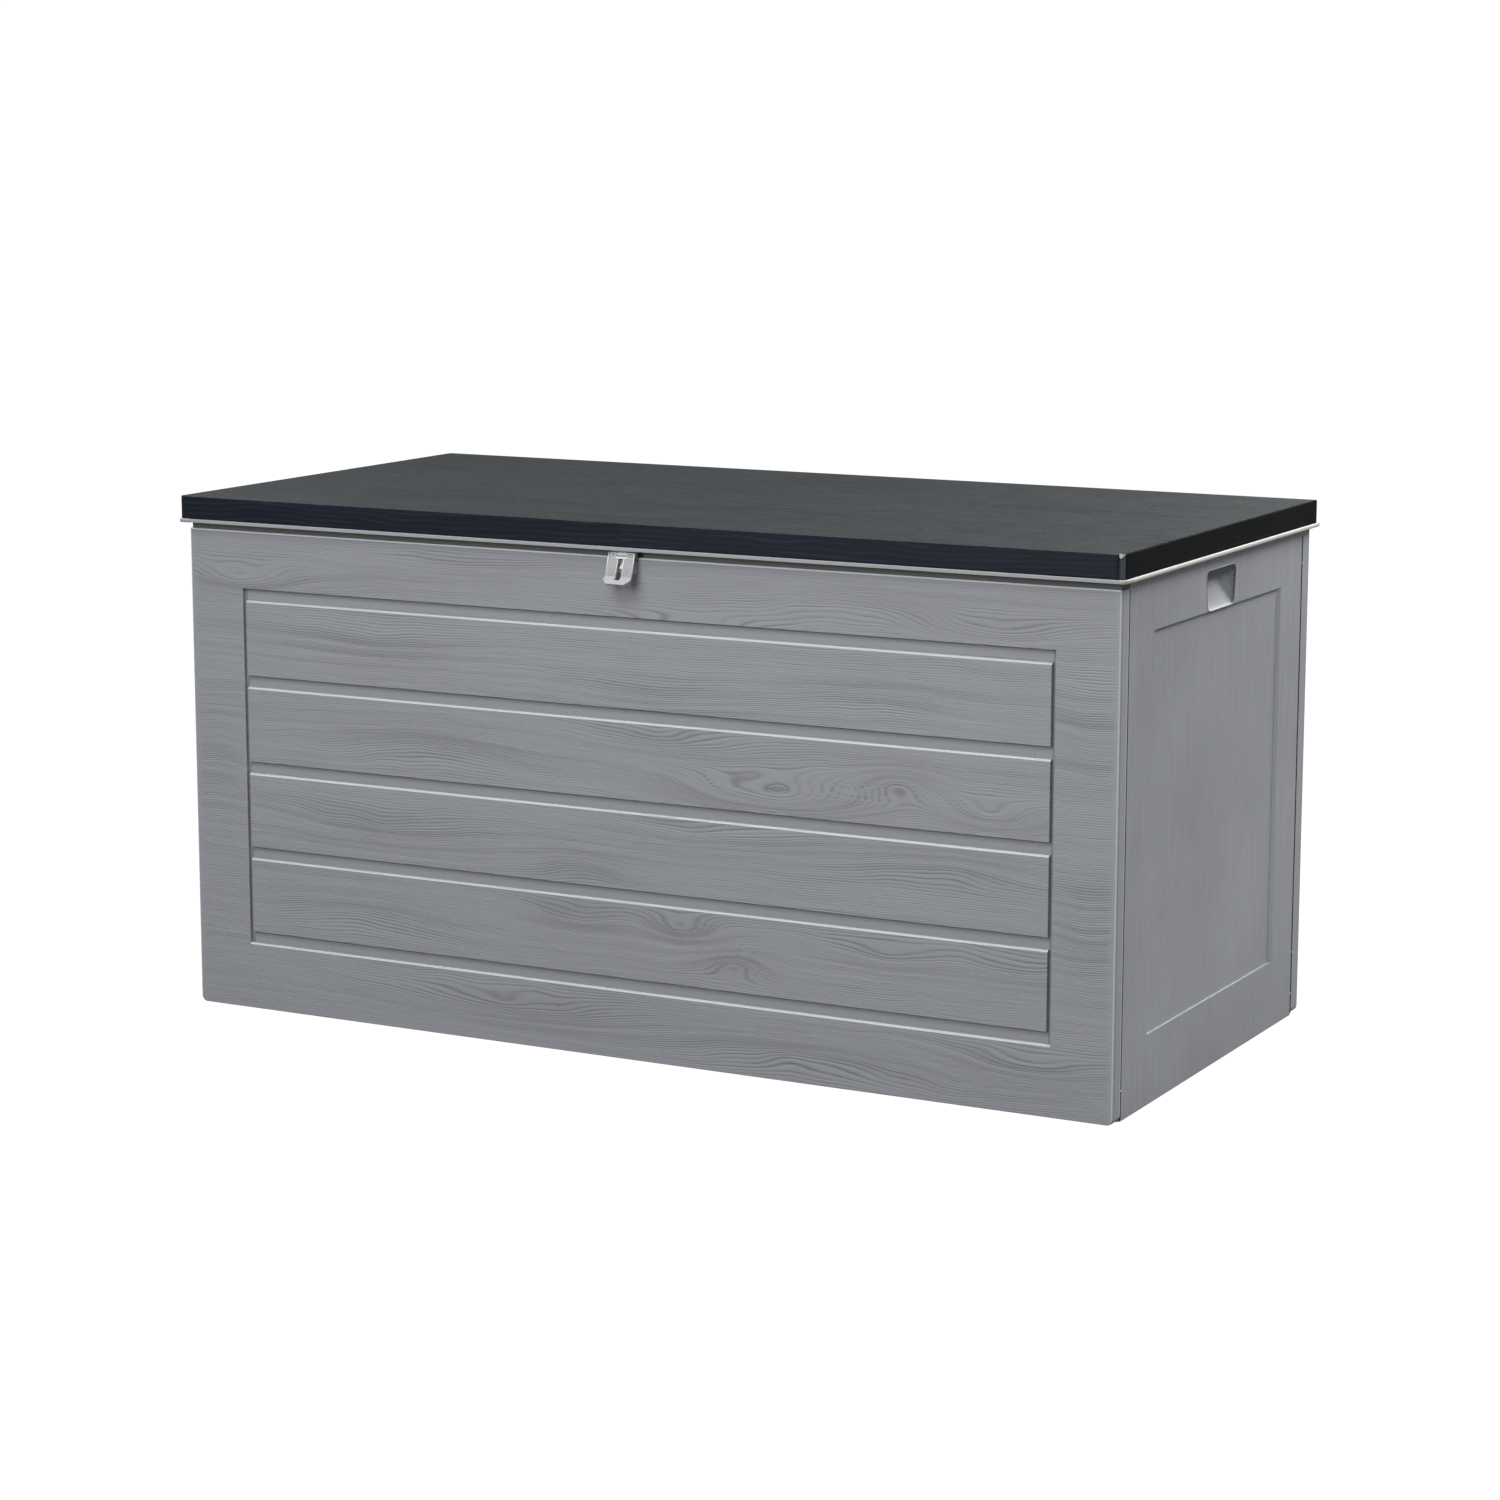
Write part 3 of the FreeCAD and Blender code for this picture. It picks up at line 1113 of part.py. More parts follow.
for side, sign in (("left", -1), ("right", 1)):
    places = [(f"{sign} * (side_inner - fit_gap - plate)", y, z) for y, z in foot_screws()]
    make_screws(f"strut_foot_screws_{side}", places, (-sign, 0, 0))

doc.recompute()
for item in doc.Objects:
    if "Invalid" in item.State or "Error" in item.State:
        raise RuntimeError(f"{item.Label} did not rebuild: {item.State}")
for part in parts:
    if part.Shape.isNull() or not part.Shape.isValid() or part.Shape.Volume < 1:
        raise RuntimeError(f"{part.Label} has no sound shape")

os.makedirs("parts", exist_ok=True)
for part in parts:
    part.Shape.exportStep(f"parts/{part.Label}.step")
print(f"{len(parts)} parts, strut stroke {value('strut_open - strut_shut'):.1f} mm")
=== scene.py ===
"""Looks of the outdoor cushion box: moulded wood grain, softened edges, finishes and a plain studio.

Metres. X runs along the front from left to right, Y from front to back and Z up.
"""

import math

import bmesh
import bpy
import numpy as np
from mathutils import Matrix, Vector


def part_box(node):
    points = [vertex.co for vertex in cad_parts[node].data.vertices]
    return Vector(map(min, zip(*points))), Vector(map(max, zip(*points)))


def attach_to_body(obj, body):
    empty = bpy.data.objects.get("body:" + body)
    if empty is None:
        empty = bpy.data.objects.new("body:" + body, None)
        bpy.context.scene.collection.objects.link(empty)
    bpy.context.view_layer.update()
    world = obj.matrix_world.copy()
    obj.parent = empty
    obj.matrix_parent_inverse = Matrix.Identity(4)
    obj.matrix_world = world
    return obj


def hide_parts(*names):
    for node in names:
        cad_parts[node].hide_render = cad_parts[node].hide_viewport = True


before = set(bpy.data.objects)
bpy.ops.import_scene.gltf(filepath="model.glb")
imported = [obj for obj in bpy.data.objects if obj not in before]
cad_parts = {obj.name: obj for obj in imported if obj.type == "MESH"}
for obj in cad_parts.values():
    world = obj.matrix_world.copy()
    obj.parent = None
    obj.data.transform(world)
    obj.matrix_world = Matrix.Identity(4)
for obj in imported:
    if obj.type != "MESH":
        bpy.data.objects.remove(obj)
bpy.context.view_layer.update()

bl_info = {
    "name": "Cushion Box",
    "version": (1, 0, 0),
    "blender": (4, 5, 0),
    "location": "3D View > Sidebar > Cushion Box",
    "description": "Grain, edges, fittings and finishes of an outdoor cushion box",
    "category": "Object",
}

MM = 0.001
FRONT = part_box("front_panel")
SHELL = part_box("lid_shell")
HALF = FRONT[1][0]
SIDES = (("left", -1), ("right", 1))
# Where the walls meet on the sides of the box, and the upper edge of the front
FRONT_SEAM, BACK_SEAM = -330.0 * MM, 323.5 * MM
SKIN_END = FRONT_SEAM - 1.0 * MM
FRONT_TOP = 706.6 * MM
HASP_AXIS = Vector((0, -362.5, 711.3)) * MM
HASP_LEAN = math.radians(19)
# The least and the most that a tone may lighten a colour by
TONE_LIMITS = (-0.9, 4)


def colour_of(red, green, blue):
    """A display colour from 0 to 255 as the linear colour that a shader takes."""
    return tuple(((c / 255 + 0.055) / 1.055) ** 2.4 if c > 10 else c / 255 / 12.92 for c in (red, green, blue)) + (1,)


def colour_prop(name, text, red, green, blue):
    return bpy.props.FloatVectorProperty(name=name, description=text, subtype="COLOR", size=4, min=0, max=1,
                                         default=colour_of(red, green, blue))


def length_prop(name, text, millimetres):
    return bpy.props.FloatProperty(name=name, description=text, unit="LENGTH", precision=5,
                                   default=millimetres * MM)


def power_prop(name, text, watts):
    return bpy.props.FloatProperty(name=name, description=text, default=watts, unit="POWER")


class BoxColours(bpy.types.PropertyGroup):
    wall: colour_prop("Wall", "Colour of the moulded walls", 141, 143, 148)
    floor: colour_prop("Floor", "Colour of the floor panel", 128, 130, 134)
    lid: colour_prop("Lid", "Colour of the lid shell", 14, 20, 23)
    liner: colour_prop("Liner", "Colour of the lid liner", 148, 150, 151)
    cap: colour_prop("Cap", "Colour of the liner's corner caps", 156, 154, 141)
    rim_side: colour_prop("Rim side", "Colour of the liner's rim along the sides", 188, 187, 181)
    skirt: colour_prop("Skirt", "Colour of the lid's front and back skirts", 13, 19, 29)
    # Painted shade: a darker copy of the skirt colour on the lid's side skirts
    skirt_side: colour_prop("Skirt side", "Colour of the lid's side skirts", 7, 9, 11)
    # Painted highlight: a lighter grey on the strip in the lid's corner notch
    strip: colour_prop("Strip", "Colour of the strip in the lid's corner notch", 50, 54, 58)
    # Painted highlight: a lighter colour along the lid's rounded front edge
    lid_edge: colour_prop("Lid edge", "Colour of the lid's rubbed front edge", 80, 84, 90)
    # A pale facet at the notch, lighter than the lid around it
    scuffed: colour_prop("Scuffed", "Colour of the rubbed plastic at the lid's notch", 114, 116, 117)
    # Painted shade: a darker colour on the strip behind the finger recess, where the lid shades it
    recess: colour_prop("Recess", "Colour of the finger recess under the lid", 100, 102, 98)
    # Painted shade: near black down in the seams, for the shade in the gaps between the walls
    seam: colour_prop("Seam", "Colour down in the seams between the walls", 22, 23, 25)
    # Painted shade: a darker copy of the wall colour inside the handle pockets
    scoop: colour_prop("Scoop", "Colour inside the handle pockets", 126, 128, 132)
    latch: colour_prop("Latch", "Colour of the latch", 148, 149, 150)
    # Painted highlight: a lighter copy of the latch colour on its raised edges, cells, bridge and bracket
    latch_edge: colour_prop("Latch edge", "Colour of the latch's raised edges", 205, 206, 206)
    # Painted highlight: the staple and its hook take a lighter copy of the latch colour
    hook: colour_prop("Hook", "Colour of the staple's hook", 205, 206, 206)
    peg: colour_prop("Peg", "Colour of the corner pegs", 222, 222, 218)
    zinc: colour_prop("Zinc", "Colour of the plated steel", 178, 180, 184)
    enamel: colour_prop("Enamel", "Colour of the strut tubes", 24, 25, 27)
    chrome: colour_prop("Chrome", "Colour of the strut rods", 205, 207, 210)
    socket: colour_prop("Socket", "Colour of the strut fittings", 38, 38, 40)


class BoxSizes(bpy.types.PropertyGroup):
    skin_lift: length_prop("Skin lift", "How far the grained skin stands over the solid wall", 0.4)
    grain_depth: length_prop("Grain depth", "Height of the embossed wood grain on the front", 0.6)
    grain_pitch: length_prop("Grain pitch", "Distance between two lines of the wood grain", 3.1)
    lid_grain_depth: length_prop("Lid grain depth", "Height of the wood grain on the lid", 0.5)
    groove_depth: length_prop("Groove depth", "Depth of the grooves between the boards", 6.0)
    board_pitch: length_prop("Board pitch", "Height of one board with its groove", 127.0)
    groove_height: length_prop("Groove height", "Height of the groove over a board", 18.2)
    groove_top: length_prop("Groove top", "Height of the upper edge of the highest groove", 624.4)
    board_half: length_prop("Half board", "Half the length of a board", 633.5)
    end_groove: length_prop("End groove", "Width of the upright groove at a board's end", 6.1)
    board_bevel: length_prop("Board bevel", "Bevel on the upper edge of a board", 2.6)
    edge_radius: length_prop("Edge radius", "Rounding of the boards' edges", 1.0)
    lid_radius: length_prop("Lid radius", "Rounding of the lid's upper edge", 1.2)
    notch_width: length_prop("Notch width", "Width of the notch in the lid's right front corner", 12.0)
    notch_depth: length_prop("Notch depth", "Depth of the notch in the lid's right front corner", 3.0)


class StudioSettings(bpy.types.PropertyGroup):
    lens: bpy.props.FloatProperty(name="Lens", description="Focal length in millimetres", default=89.58,
                                  subtype="DISTANCE_CAMERA")
    key_power: power_prop("Key light", "Power of the large lamp over the front", 84)
    top_power: power_prop("Top light", "Power of the lamp over the lid", 130)
    front_power: power_prop("Front light", "Power of the low lamp before the front, which reaches under the lid", 100)
    side_power: power_prop("Side light", "Power of the lamp over the right side", 80)
    back_power: power_prop("Back light", "Power of the lamp behind, which the lid mirrors", 410)
    left_power: power_prop("Left light", "Power of the weak lamp over the left side", 60)
    sky: bpy.props.FloatProperty(name="Sky", description="Strength of the light from all round", default=0.2,
                                 subtype="FACTOR")
    backdrop: colour_prop("Backdrop", "Colour of the floor and the background", 255, 255, 255)


# Grain


def smooth_noise(u, v, seed):
    """Noise from 0 to 1 between the points of a seeded table that repeats after 97 cells."""
    cells = 97
    table = np.random.default_rng(seed).random((cells, cells))
    iu, iv = np.floor(u).astype(int), np.floor(v).astype(int)
    fu, fv = u - iu, v - iv
    fu, fv = fu * fu * (3 - 2 * fu), fv * fv * (3 - 2 * fv)
    low = table[iu % cells, iv % cells] * (1 - fu) + table[(iu + 1) % cells, iv % cells] * fu
    high = table[iu % cells, (iv + 1) % cells] * (1 - fu) + table[(iu + 1) % cells, (iv + 1) % cells] * fu
    return low * (1 - fv) + high * fv


def wood_relief(along, across, knots, pitch, seed):
    """Embossed wood from 0 to 1. Its lines run along the first coordinate and flow round the knots."""
    flow = across + 0.012 * (smooth_noise(along / 0.24 + 7, across / 0.08 + 5, seed) - 0.5)
    flow = flow + 0.004 * (smooth_noise(along / 0.05 + 3, across / 0.03 + 9, seed + 1) - 0.5)
    bold = np.zeros_like(flow)
    for x, z, length, height, lift in knots:
        bump = np.exp(-((along - x) / length) ** 2 - ((across - z) / height) ** 2)
        flow = flow + lift * bump
        bold = np.maximum(bold, bump)
    # Thin grooves one pitch apart, each fading in and out along its own length
    phase = flow / pitch + 0.5 * smooth_noise(along / 0.06 + 31, flow / 0.02 + 19, seed + 2)
    line = np.floor(phase)
    beside = phase - line - 0.5
    narrow = np.exp(-(beside / (0.13 + 0.08 * bold)) ** 2)
    fade = smooth_noise(along / 0.07 + 3.7 * line, 5.3 * line + 23, seed + 3)
    broken = smooth_noise(along / 0.012 + 1.9 * line, 2.7 * line + 41, seed + 4)
    wide = smooth_noise(flow / (2.2 * pitch) + 20, along / 0.5 + 13, seed + 5)
    depth = np.clip(0.1 + fade + 0.5 * bold + 0.4 * (broken - 0.5), 0, 1.3)
    return 0.6 - 0.6 * depth * narrow + (0.2 + 0.5 * bold) * (wide - 0.5)


def grid_object(name, points, material, closed=False):
    """A quad sheet through a table of points, rows first. closed joins the last column to the first."""
    rows, columns = points.shape[:2]
    index = np.arange(rows * columns).reshape(rows, columns)
    if closed:
        index = np.hstack([index, index[:, :1]])
    faces = np.stack([index[:-1, :-1], index[:-1, 1:], index[1:, 1:], index[1:, :-1]], axis=-1).reshape(-1, 4)
    mesh = bpy.data.meshes.new(name)
    mesh.from_pydata(points.reshape(-1, 3).tolist(), [], faces.tolist())
    mesh.shade_smooth()
    return add_object(name, mesh, material)


def store_tone(piece, tone):
    """Stores how much lighter or darker each point is than its finish."""
    layer = piece.data.attributes.new("tone", "FLOAT", "POINT")
    layer.data.foreach_set("value", np.clip(tone, *TONE_LIMITS).astype(np.float32).ravel())


def link_object(name, data):
    piece = bpy.data.objects.new(name, data)
    bpy.context.scene.collection.objects.link(piece)
    return piece


def add_object(name, mesh, material):
    mesh.materials.append(material)
    return link_object(name, mesh)


def mesh_of(name, edit, smooth=False):
    """The mesh of a bmesh, which is freed."""
    mesh = bpy.data.meshes.new(name)
    edit.to_mesh(mesh)
    edit.free()
    if smooth:
        mesh.shade_smooth()
    return mesh


def attach(piece, body):
    """Lets a piece ride a body."""
    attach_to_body(piece, body)


def lines_between(low, high, step, edges=(), near=(0.0,)):
    """Evenly spaced coordinates with extra ones close to each edge."""
    even = np.linspace(low, high, max(2, int(round((high - low) / step)) + 1))
    close = [edge + offset for edge in edges for offset in near]
    return np.unique(np.round(np.clip(np.concatenate([even, close]), low, high), 6))


# Width over which a groove's wall falls to its bottom, which is also the least rounding of an edge
WALL_SLANT = 0.35 * MM


def drop(outside, depth, radius):
    """Depth beside a rounded edge, by the distance outside it."""
    arc = radius - np.sqrt(np.maximum(radius ** 2 - np.clip(outside + radius, 0, radius) ** 2, 0))
    wall = radius + (depth - radius) * np.clip(outside / WALL_SLANT, 0, 1)
    return np.where(outside <= -radius, 0, np.where(outside <= 0, arc, wall))


def drop_bevel(outside, depth, bevel):
    """Depth beside a bevelled edge, by the distance outside it."""
    wall = bevel + (depth - bevel) * np.clip(outside / WALL_SLANT, 0, 1)
    return np.where(outside <= -bevel, 0, np.where(outside <= 0, outside + bevel, wall))


# Shader groups


def add_node(tree, kind, inputs=None, **settings):
    """Adds a shader node. An input is a value or another node's output."""
    node = tree.nodes.new("ShaderNode" + kind)
    for name, setting in settings.items():
        setattr(node, name, setting)
    for name, entry in (inputs or {}).items():
        socket = node.inputs[name]
        if isinstance(entry, bpy.types.NodeSocket):
            tree.links.new(entry, socket)
        else:
            socket.default_value = entry
    return node


def new_group(name, inputs, outputs):
    """An empty shader group with typed sockets, and its two ends."""
    tree = bpy.data.node_groups.new(name, "ShaderNodeTree")
    for label, kind, start in inputs:
        socket = tree.interface.new_socket(label, in_out="INPUT", socket_type="NodeSocket" + kind)
        if start is not None:
            socket.default_value = start
    for label, kind in outputs:
        tree.interface.new_socket(label, in_out="OUTPUT", socket_type="NodeSocket" + kind)
    return tree, tree.nodes.new("NodeGroupInput").outputs, tree.nodes.new("NodeGroupOutput").inputs


def grain_group():
    """Fine moulded grain, stretched along one direction."""
    tree, given, result = new_group("Moulded Grain", [("Vector", "Vector", None), ("Stretch", "Vector", (1, 1, 1)),
                                                      ("Scale", "Float", 200.0), ("Broad", "Float", 30.0)],
                                    [("Height", "Float"), ("Shade", "Float")])
    stretched = add_node(tree, "VectorMath", {0: given["Vector"], 1: given["Stretch"]}, operation="MULTIPLY")
    lines = add_node(tree, "TexNoise", {"Vector": stretched.outputs[0], "Scale": given["Scale"], "Detail": 4.0,
                                        "Roughness": 0.6, "Distortion": 0.3})
    pores = add_node(tree, "TexNoise", {"Vector": given["Vector"], "Scale": 1400.0, "Detail": 2.0})
    both = add_node(tree, "Math", {0: lines.outputs["Fac"], 1: pores.outputs["Fac"], 2: 0.0}, operation="MULTIPLY_ADD")
    tree.links.new(lines.outputs["Fac"], both.inputs[2])
    tree.links.new(both.outputs[0], result["Height"])
    broad = add_node(tree, "TexNoise", {"Vector": stretched.outputs[0], "Scale": given["Broad"], "Detail": 5.0,
                                        "Roughness": 0.65})
    tree.links.new(broad.outputs["Fac"], result["Shade"])
    return tree


def drift_group():
    """Slow change of a colour over the surface, as in moulded plastic."""
    tree, given, result = new_group("Colour Drift", [("Vector", "Vector", None), ("Colour", "Color", None),
                                                     ("Shade", "Float", 0.5), ("Amount", "Float", 0.1)],
                                    [("Colour", "Color")])
    cloud = add_node(tree, "TexNoise", {"Vector": given["Vector"], "Scale": 3.5, "Detail": 3.0})
    mixed = add_node(tree, "Math", {0: cloud.outputs["Fac"], 1: given["Shade"]}, operation="ADD")
    centred = add_node(tree, "Math", {0: mixed.outputs[0], 1: 1.0}, operation="SUBTRACT")
    scaled = add_node(tree, "Math", {0: centred.outputs[0], 1: given["Amount"], 2: 1.0}, operation="MULTIPLY_ADD")
    shaded = add_node(tree, "HueSaturation", {"Color": given["Colour"], "Value": scaled.outputs[0]})
    tree.links.new(shaded.outputs["Color"], result["Colour"])
    return tree


def scuff_group():
    """Fine rubbed streaks and dust that change how dull the surface is."""
    tree, given, result = new_group("Handling Scuffs", [("Vector", "Vector", None), ("Dull", "Float", 0.5),
                                                        ("Range", "Float", 0.15)], [("Roughness", "Float")])
    cloud = add_node(tree, "TexNoise", {"Vector": given["Vector"], "Scale": 18.0, "Detail": 6.0, "Roughness": 0.7})
    streaks = add_node(tree, "TexNoise", {"Vector": given["Vector"], "Scale": 90.0, "Detail": 2.0,
                                          "Distortion": 2.0})
    both = add_node(tree, "Math", {0: cloud.outputs["Fac"], 1: streaks.outputs["Fac"]}, operation="ADD")
    centred = add_node(tree, "Math", {0: both.outputs[0], 1: 1.0}, operation="SUBTRACT")
    ranged = add_node(tree, "Math", {0: centred.outputs[0], 1: given["Range"], 2: given["Dull"]},
                      operation="MULTIPLY_ADD")
    ranged.use_clamp = True
    tree.links.new(ranged.outputs[0], result["Roughness"])
    return tree


def brushed_group():
    """Fine turned or drawn lines in metal."""
    tree, given, result = new_group("Drawn Metal", [("Vector", "Vector", None), ("Stretch", "Vector", (1, 1, 1))],
                                    [("Height", "Float"), ("Spangle", "Float")])
    stretched = add_node(tree, "VectorMath", {0: given["Vector"], 1: given["Stretch"]}, operation="MULTIPLY")
    lines = add_node(tree, "TexNoise", {"Vector": stretched.outputs[0], "Scale": 900.0, "Detail": 3.0})
    flakes = add_node(tree, "TexVoronoi", {"Vector": given["Vector"], "Scale": 260.0})
    tree.links.new(lines.outputs["Fac"], result["Height"])
    tree.links.new(flakes.outputs["Distance"], result["Spangle"])
    return tree


GROUPS = {}


def group_node(tree, maker, inputs):
    """Places a shader group, which is built the first time it is asked for."""
    if maker not in GROUPS:
        GROUPS[maker] = maker()
    return add_node(tree, "Group", inputs, node_tree=GROUPS[maker]).outputs


def new_material(name):
    """A material with its node tree, its shader and the coordinates of the piece's own frame."""
    material = bpy.data.materials.new(name)
    material.use_nodes = True
    tree = material.node_tree
    return material, tree, tree.nodes["Principled BSDF"], add_node(tree, "TexCoord").outputs["Object"]


def wire(tree, shader, colour, rough, height, strength, distance):
    """Joins the colour, the roughness and the bump to the shader."""
    bump = add_node(tree, "Bump", {"Height": height, "Strength": strength, "Distance": distance})
    tree.links.new(colour, shader.inputs["Base Color"])
    tree.links.new(rough["Roughness"], shader.inputs["Roughness"])
    tree.links.new(bump.outputs["Normal"], shader.inputs["Normal"])


def plastic(name, colour, dull, stretch, grain=0.12, drift=0.1, scale=200.0, scuff=0.15, coat=0.0, streaks=0.0,
            glint=0.5, broad=30.0):
    """Moulded plastic with directional grain. stretch is small along the grain."""
    material, tree, shader, where = new_material(name)
    grains = group_node(tree, grain_group, {"Vector": where, "Stretch": stretch, "Scale": scale, "Broad": broad})
    tint = group_node(tree, drift_group, {"Vector": where, "Colour": tuple(colour), "Shade": grains["Shade"],
                                          "Amount": drift + streaks})
    rough = group_node(tree, scuff_group, {"Vector": where, "Dull": dull, "Range": scuff})
    tone = add_node(tree, "Attribute", attribute_name="tone").outputs["Fac"]
    level = add_node(tree, "Math", {0: tone, 1: 1.0}, operation="ADD").outputs[0]
    lined = add_node(tree, "HueSaturation", {"Color": tint["Colour"], "Value": level})
    wire(tree, shader, lined.outputs["Color"], rough, grains["Height"], grain, 0.6 * MM)
    shader.inputs["IOR"].default_value = 1.48
    shader.inputs["Coat Weight"].default_value = coat
    shader.inputs["Specular IOR Level"].default_value = glint
    return material


def metal(name, colour, dull, spangle=0.0):
    """Plated, drawn or turned metal."""
    material, tree, shader, where = new_material(name)
    lines = group_node(tree, brushed_group, {"Vector": where, "Stretch": ALL_WAYS})
    tint = group_node(tree, drift_group, {"Vector": where, "Colour": tuple(colour), "Shade": lines["Spangle"],
                                          "Amount": 0.06 + spangle})
    rough = group_node(tree, scuff_group, {"Vector": where, "Dull": dull, "Range": 0.2})
    wire(tree, shader, tint["Colour"], rough, lines["Height"], 0.08, 0.2 * MM)
    shader.inputs["Metallic"].default_value = 1.0
    return material


ALONG_X = (0.05, 1.0, 1.0)
ALONG_Z = (1.0, 1.0, 0.05)
ALL_WAYS = (1.0, 1.0, 1.0)
# The object's own finishes: colour, dullness, direction of the grain and what differs from plain plastic
PLASTICS = {
    "wall_front": ("wall", 0.5, ALONG_X, {"grain": 0.2, "drift": 0.07}),
    "wall_side": ("wall", 0.55, ALONG_Z, {"grain": 0.4, "drift": 0.07, "scale": 160.0, "streaks": 0.35,
                                          "broad": 190.0}),
    "floor_panel": ("floor", 0.6, ALL_WAYS, {"grain": 0.25, "drift": 0.08}),
    "lid_top": ("lid", 0.42, ALONG_X, {"grain": 0.3, "drift": 0.15, "streaks": 0.45, "scuff": 0.25}),
    "skirt": ("skirt", 0.5, ALONG_X, {"grain": 0.3, "drift": 0.15, "streaks": 0.5, "glint": 0.25}),
    "skirt_side": ("skirt_side", 0.85, ALONG_X, {"grain": 0.2, "drift": 0.15, "scuff": 0.3, "glint": 0.05}),
    "strip": ("strip", 0.5, ALL_WAYS, {"glint": 0.3}),
    "lid_edge": ("lid_edge", 0.6, ALONG_X, {"glint": 0.2}),
    "scuffed": ("scuffed", 0.4, ALL_WAYS, {}),
    "recess": ("recess", 0.6, ALONG_X, {"glint": 0.3}),
    "seam": ("seam", 0.8, ALONG_Z, {"glint": 0.1}),
    "scoop": ("scoop", 0.45, ALL_WAYS, {"grain": 0.15}),
    "cap": ("cap", 0.5, ALL_WAYS, {"grain": 0.1}),
    "liner": ("liner", 0.45, ALL_WAYS, {"grain": 0.1, "drift": 0.06}),
    "rim_side": ("rim_side", 0.5, ALL_WAYS, {"grain": 0.1}),
    "latch_edge": ("latch_edge", 0.38, ALL_WAYS, {}),
    "hook": ("hook", 0.38, ALL_WAYS, {}),
    "latch": ("latch", 0.38, ALL_WAYS, {"grain": 0.06, "drift": 0.05}),
    "peg": ("peg", 0.5, ALL_WAYS, {"grain": 0.1, "drift": 0.06}),
    "socket": ("socket", 0.55, ALL_WAYS, {"grain": 0.2}),
    "enamel": ("enamel", 0.3, ALL_WAYS, {"grain": 0.08, "coat": 0.4}),
}
METALS = {"chrome": (0.14, 0.0), "zinc": (0.38, 0.1)}
FINISHES = {}


def finish(name):
    """One of the object's own finishes, built when it is first asked for."""
    if name not in FINISHES:
        colours = bpy.context.scene.cushion_box_colours
        if name in METALS:
            FINISHES[name] = metal(name, getattr(colours, name), *METALS[name])
        else:
            colour, dull, stretch, more = PLASTICS[name]
            FINISHES[name] = plastic(name, getattr(colours, colour), dull, stretch, **more)
    return FINISHES[name]


def soften(node_name, shade, width):
    """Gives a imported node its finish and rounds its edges, leaving its own mesh as it is."""
    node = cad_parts[node_name]
    for slot in node.material_slots:
        slot.link = "OBJECT"
        slot.material = finish(shade)
    weld = node.modifiers.new("joined", "WELD")
    weld.merge_threshold = 0.00001
    flat = node.modifiers.new("flat_faces", "DECIMATE")
    flat.decimate_type = "DISSOLVE"
    flat.angle_limit = math.radians(0.4)
    bevel = node.modifiers.new("softened", "BEVEL")
    bevel.width = width
    bevel.segments = 2
    bevel.limit_method = "ANGLE"
    bevel.angle_limit = math.radians(38)
    node.modifiers.new("even_shading", "WEIGHTED_NORMAL").keep_sharp = True


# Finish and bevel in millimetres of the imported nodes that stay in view, by their names without the side
NODE_FINISHES = {
    "front_panel": ("wall_front", 1.0), "left_panel": ("wall_side", 1.0), "right_panel": ("wall_side", 1.0),
    "back_panel": ("wall_side", 1.0), "floor_panel": ("floor_panel", 0.5), "lid_liner": ("liner", 0.8),
    "corner_pegs_front": ("peg", 0.4), "corner_pegs_back": ("peg", 0.4),
    "hinge_lower_leaf": ("zinc", 0.35), "hinge_upper_leaf": ("zinc", 0.35), "hinge_pin": ("zinc", 0.3),
    "strut_tube": ("enamel", 0.4), "strut_gland": ("socket", 0.2), "strut_piston": ("zinc", 0.2),
    "strut_rod": ("chrome", 0.3), "strut_rod_eye": ("socket", 0.3), "strut_tube_eye": ("socket", 0.3),
    "strut_foot_bracket": ("zinc", 0.3), "strut_head_bracket": ("zinc", 0.3),
    # The staple and the latch's bracket take lighter copies of the latch colour as painted highlights
    "latch_hasp": ("latch", 0.35), "latch_staple": ("hook", 0.35), "latch_bracket": ("latch_edge", 0.3),
    "latch_pin": ("zinc", 0.2),
}


class CUSHIONBOX_OT_packed_nodes(bpy.types.Operator):
    """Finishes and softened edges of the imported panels, pegs, hinges, struts and latch"""

    bl_idname = "cushion_box.packed_nodes"
    bl_label = "Packed Nodes"

    def execute(self, context):
        for node in sorted(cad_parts):
            kind, _, end = node.rpartition("_")
            kind = kind if end in ("left", "middle", "right") else node
            if kind in NODE_FINISHES:
                shade, width = NODE_FINISHES[kind]
                soften(node, shade, width * MM)
        return {"FINISHED"}


# Walls


class FrontLayout:
    """Edges of the four boards, from the top one down, and of the field that they lie in."""

    def __init__(self, sizes):
        lift = sizes.skin_lift
        self.board_half = sizes.board_half + lift
        self.field_half = sizes.board_half + sizes.end_groove - lift
        self.low = sizes.groove_top - 4 * sizes.board_pitch - sizes.groove_height
        self.high = sizes.groove_top
        self.boards = []
        for number in range(4):
            high = sizes.groove_top - sizes.groove_height - number * sizes.board_pitch
            self.boards.append((high - sizes.board_pitch + sizes.groove_height - lift, high + lift))


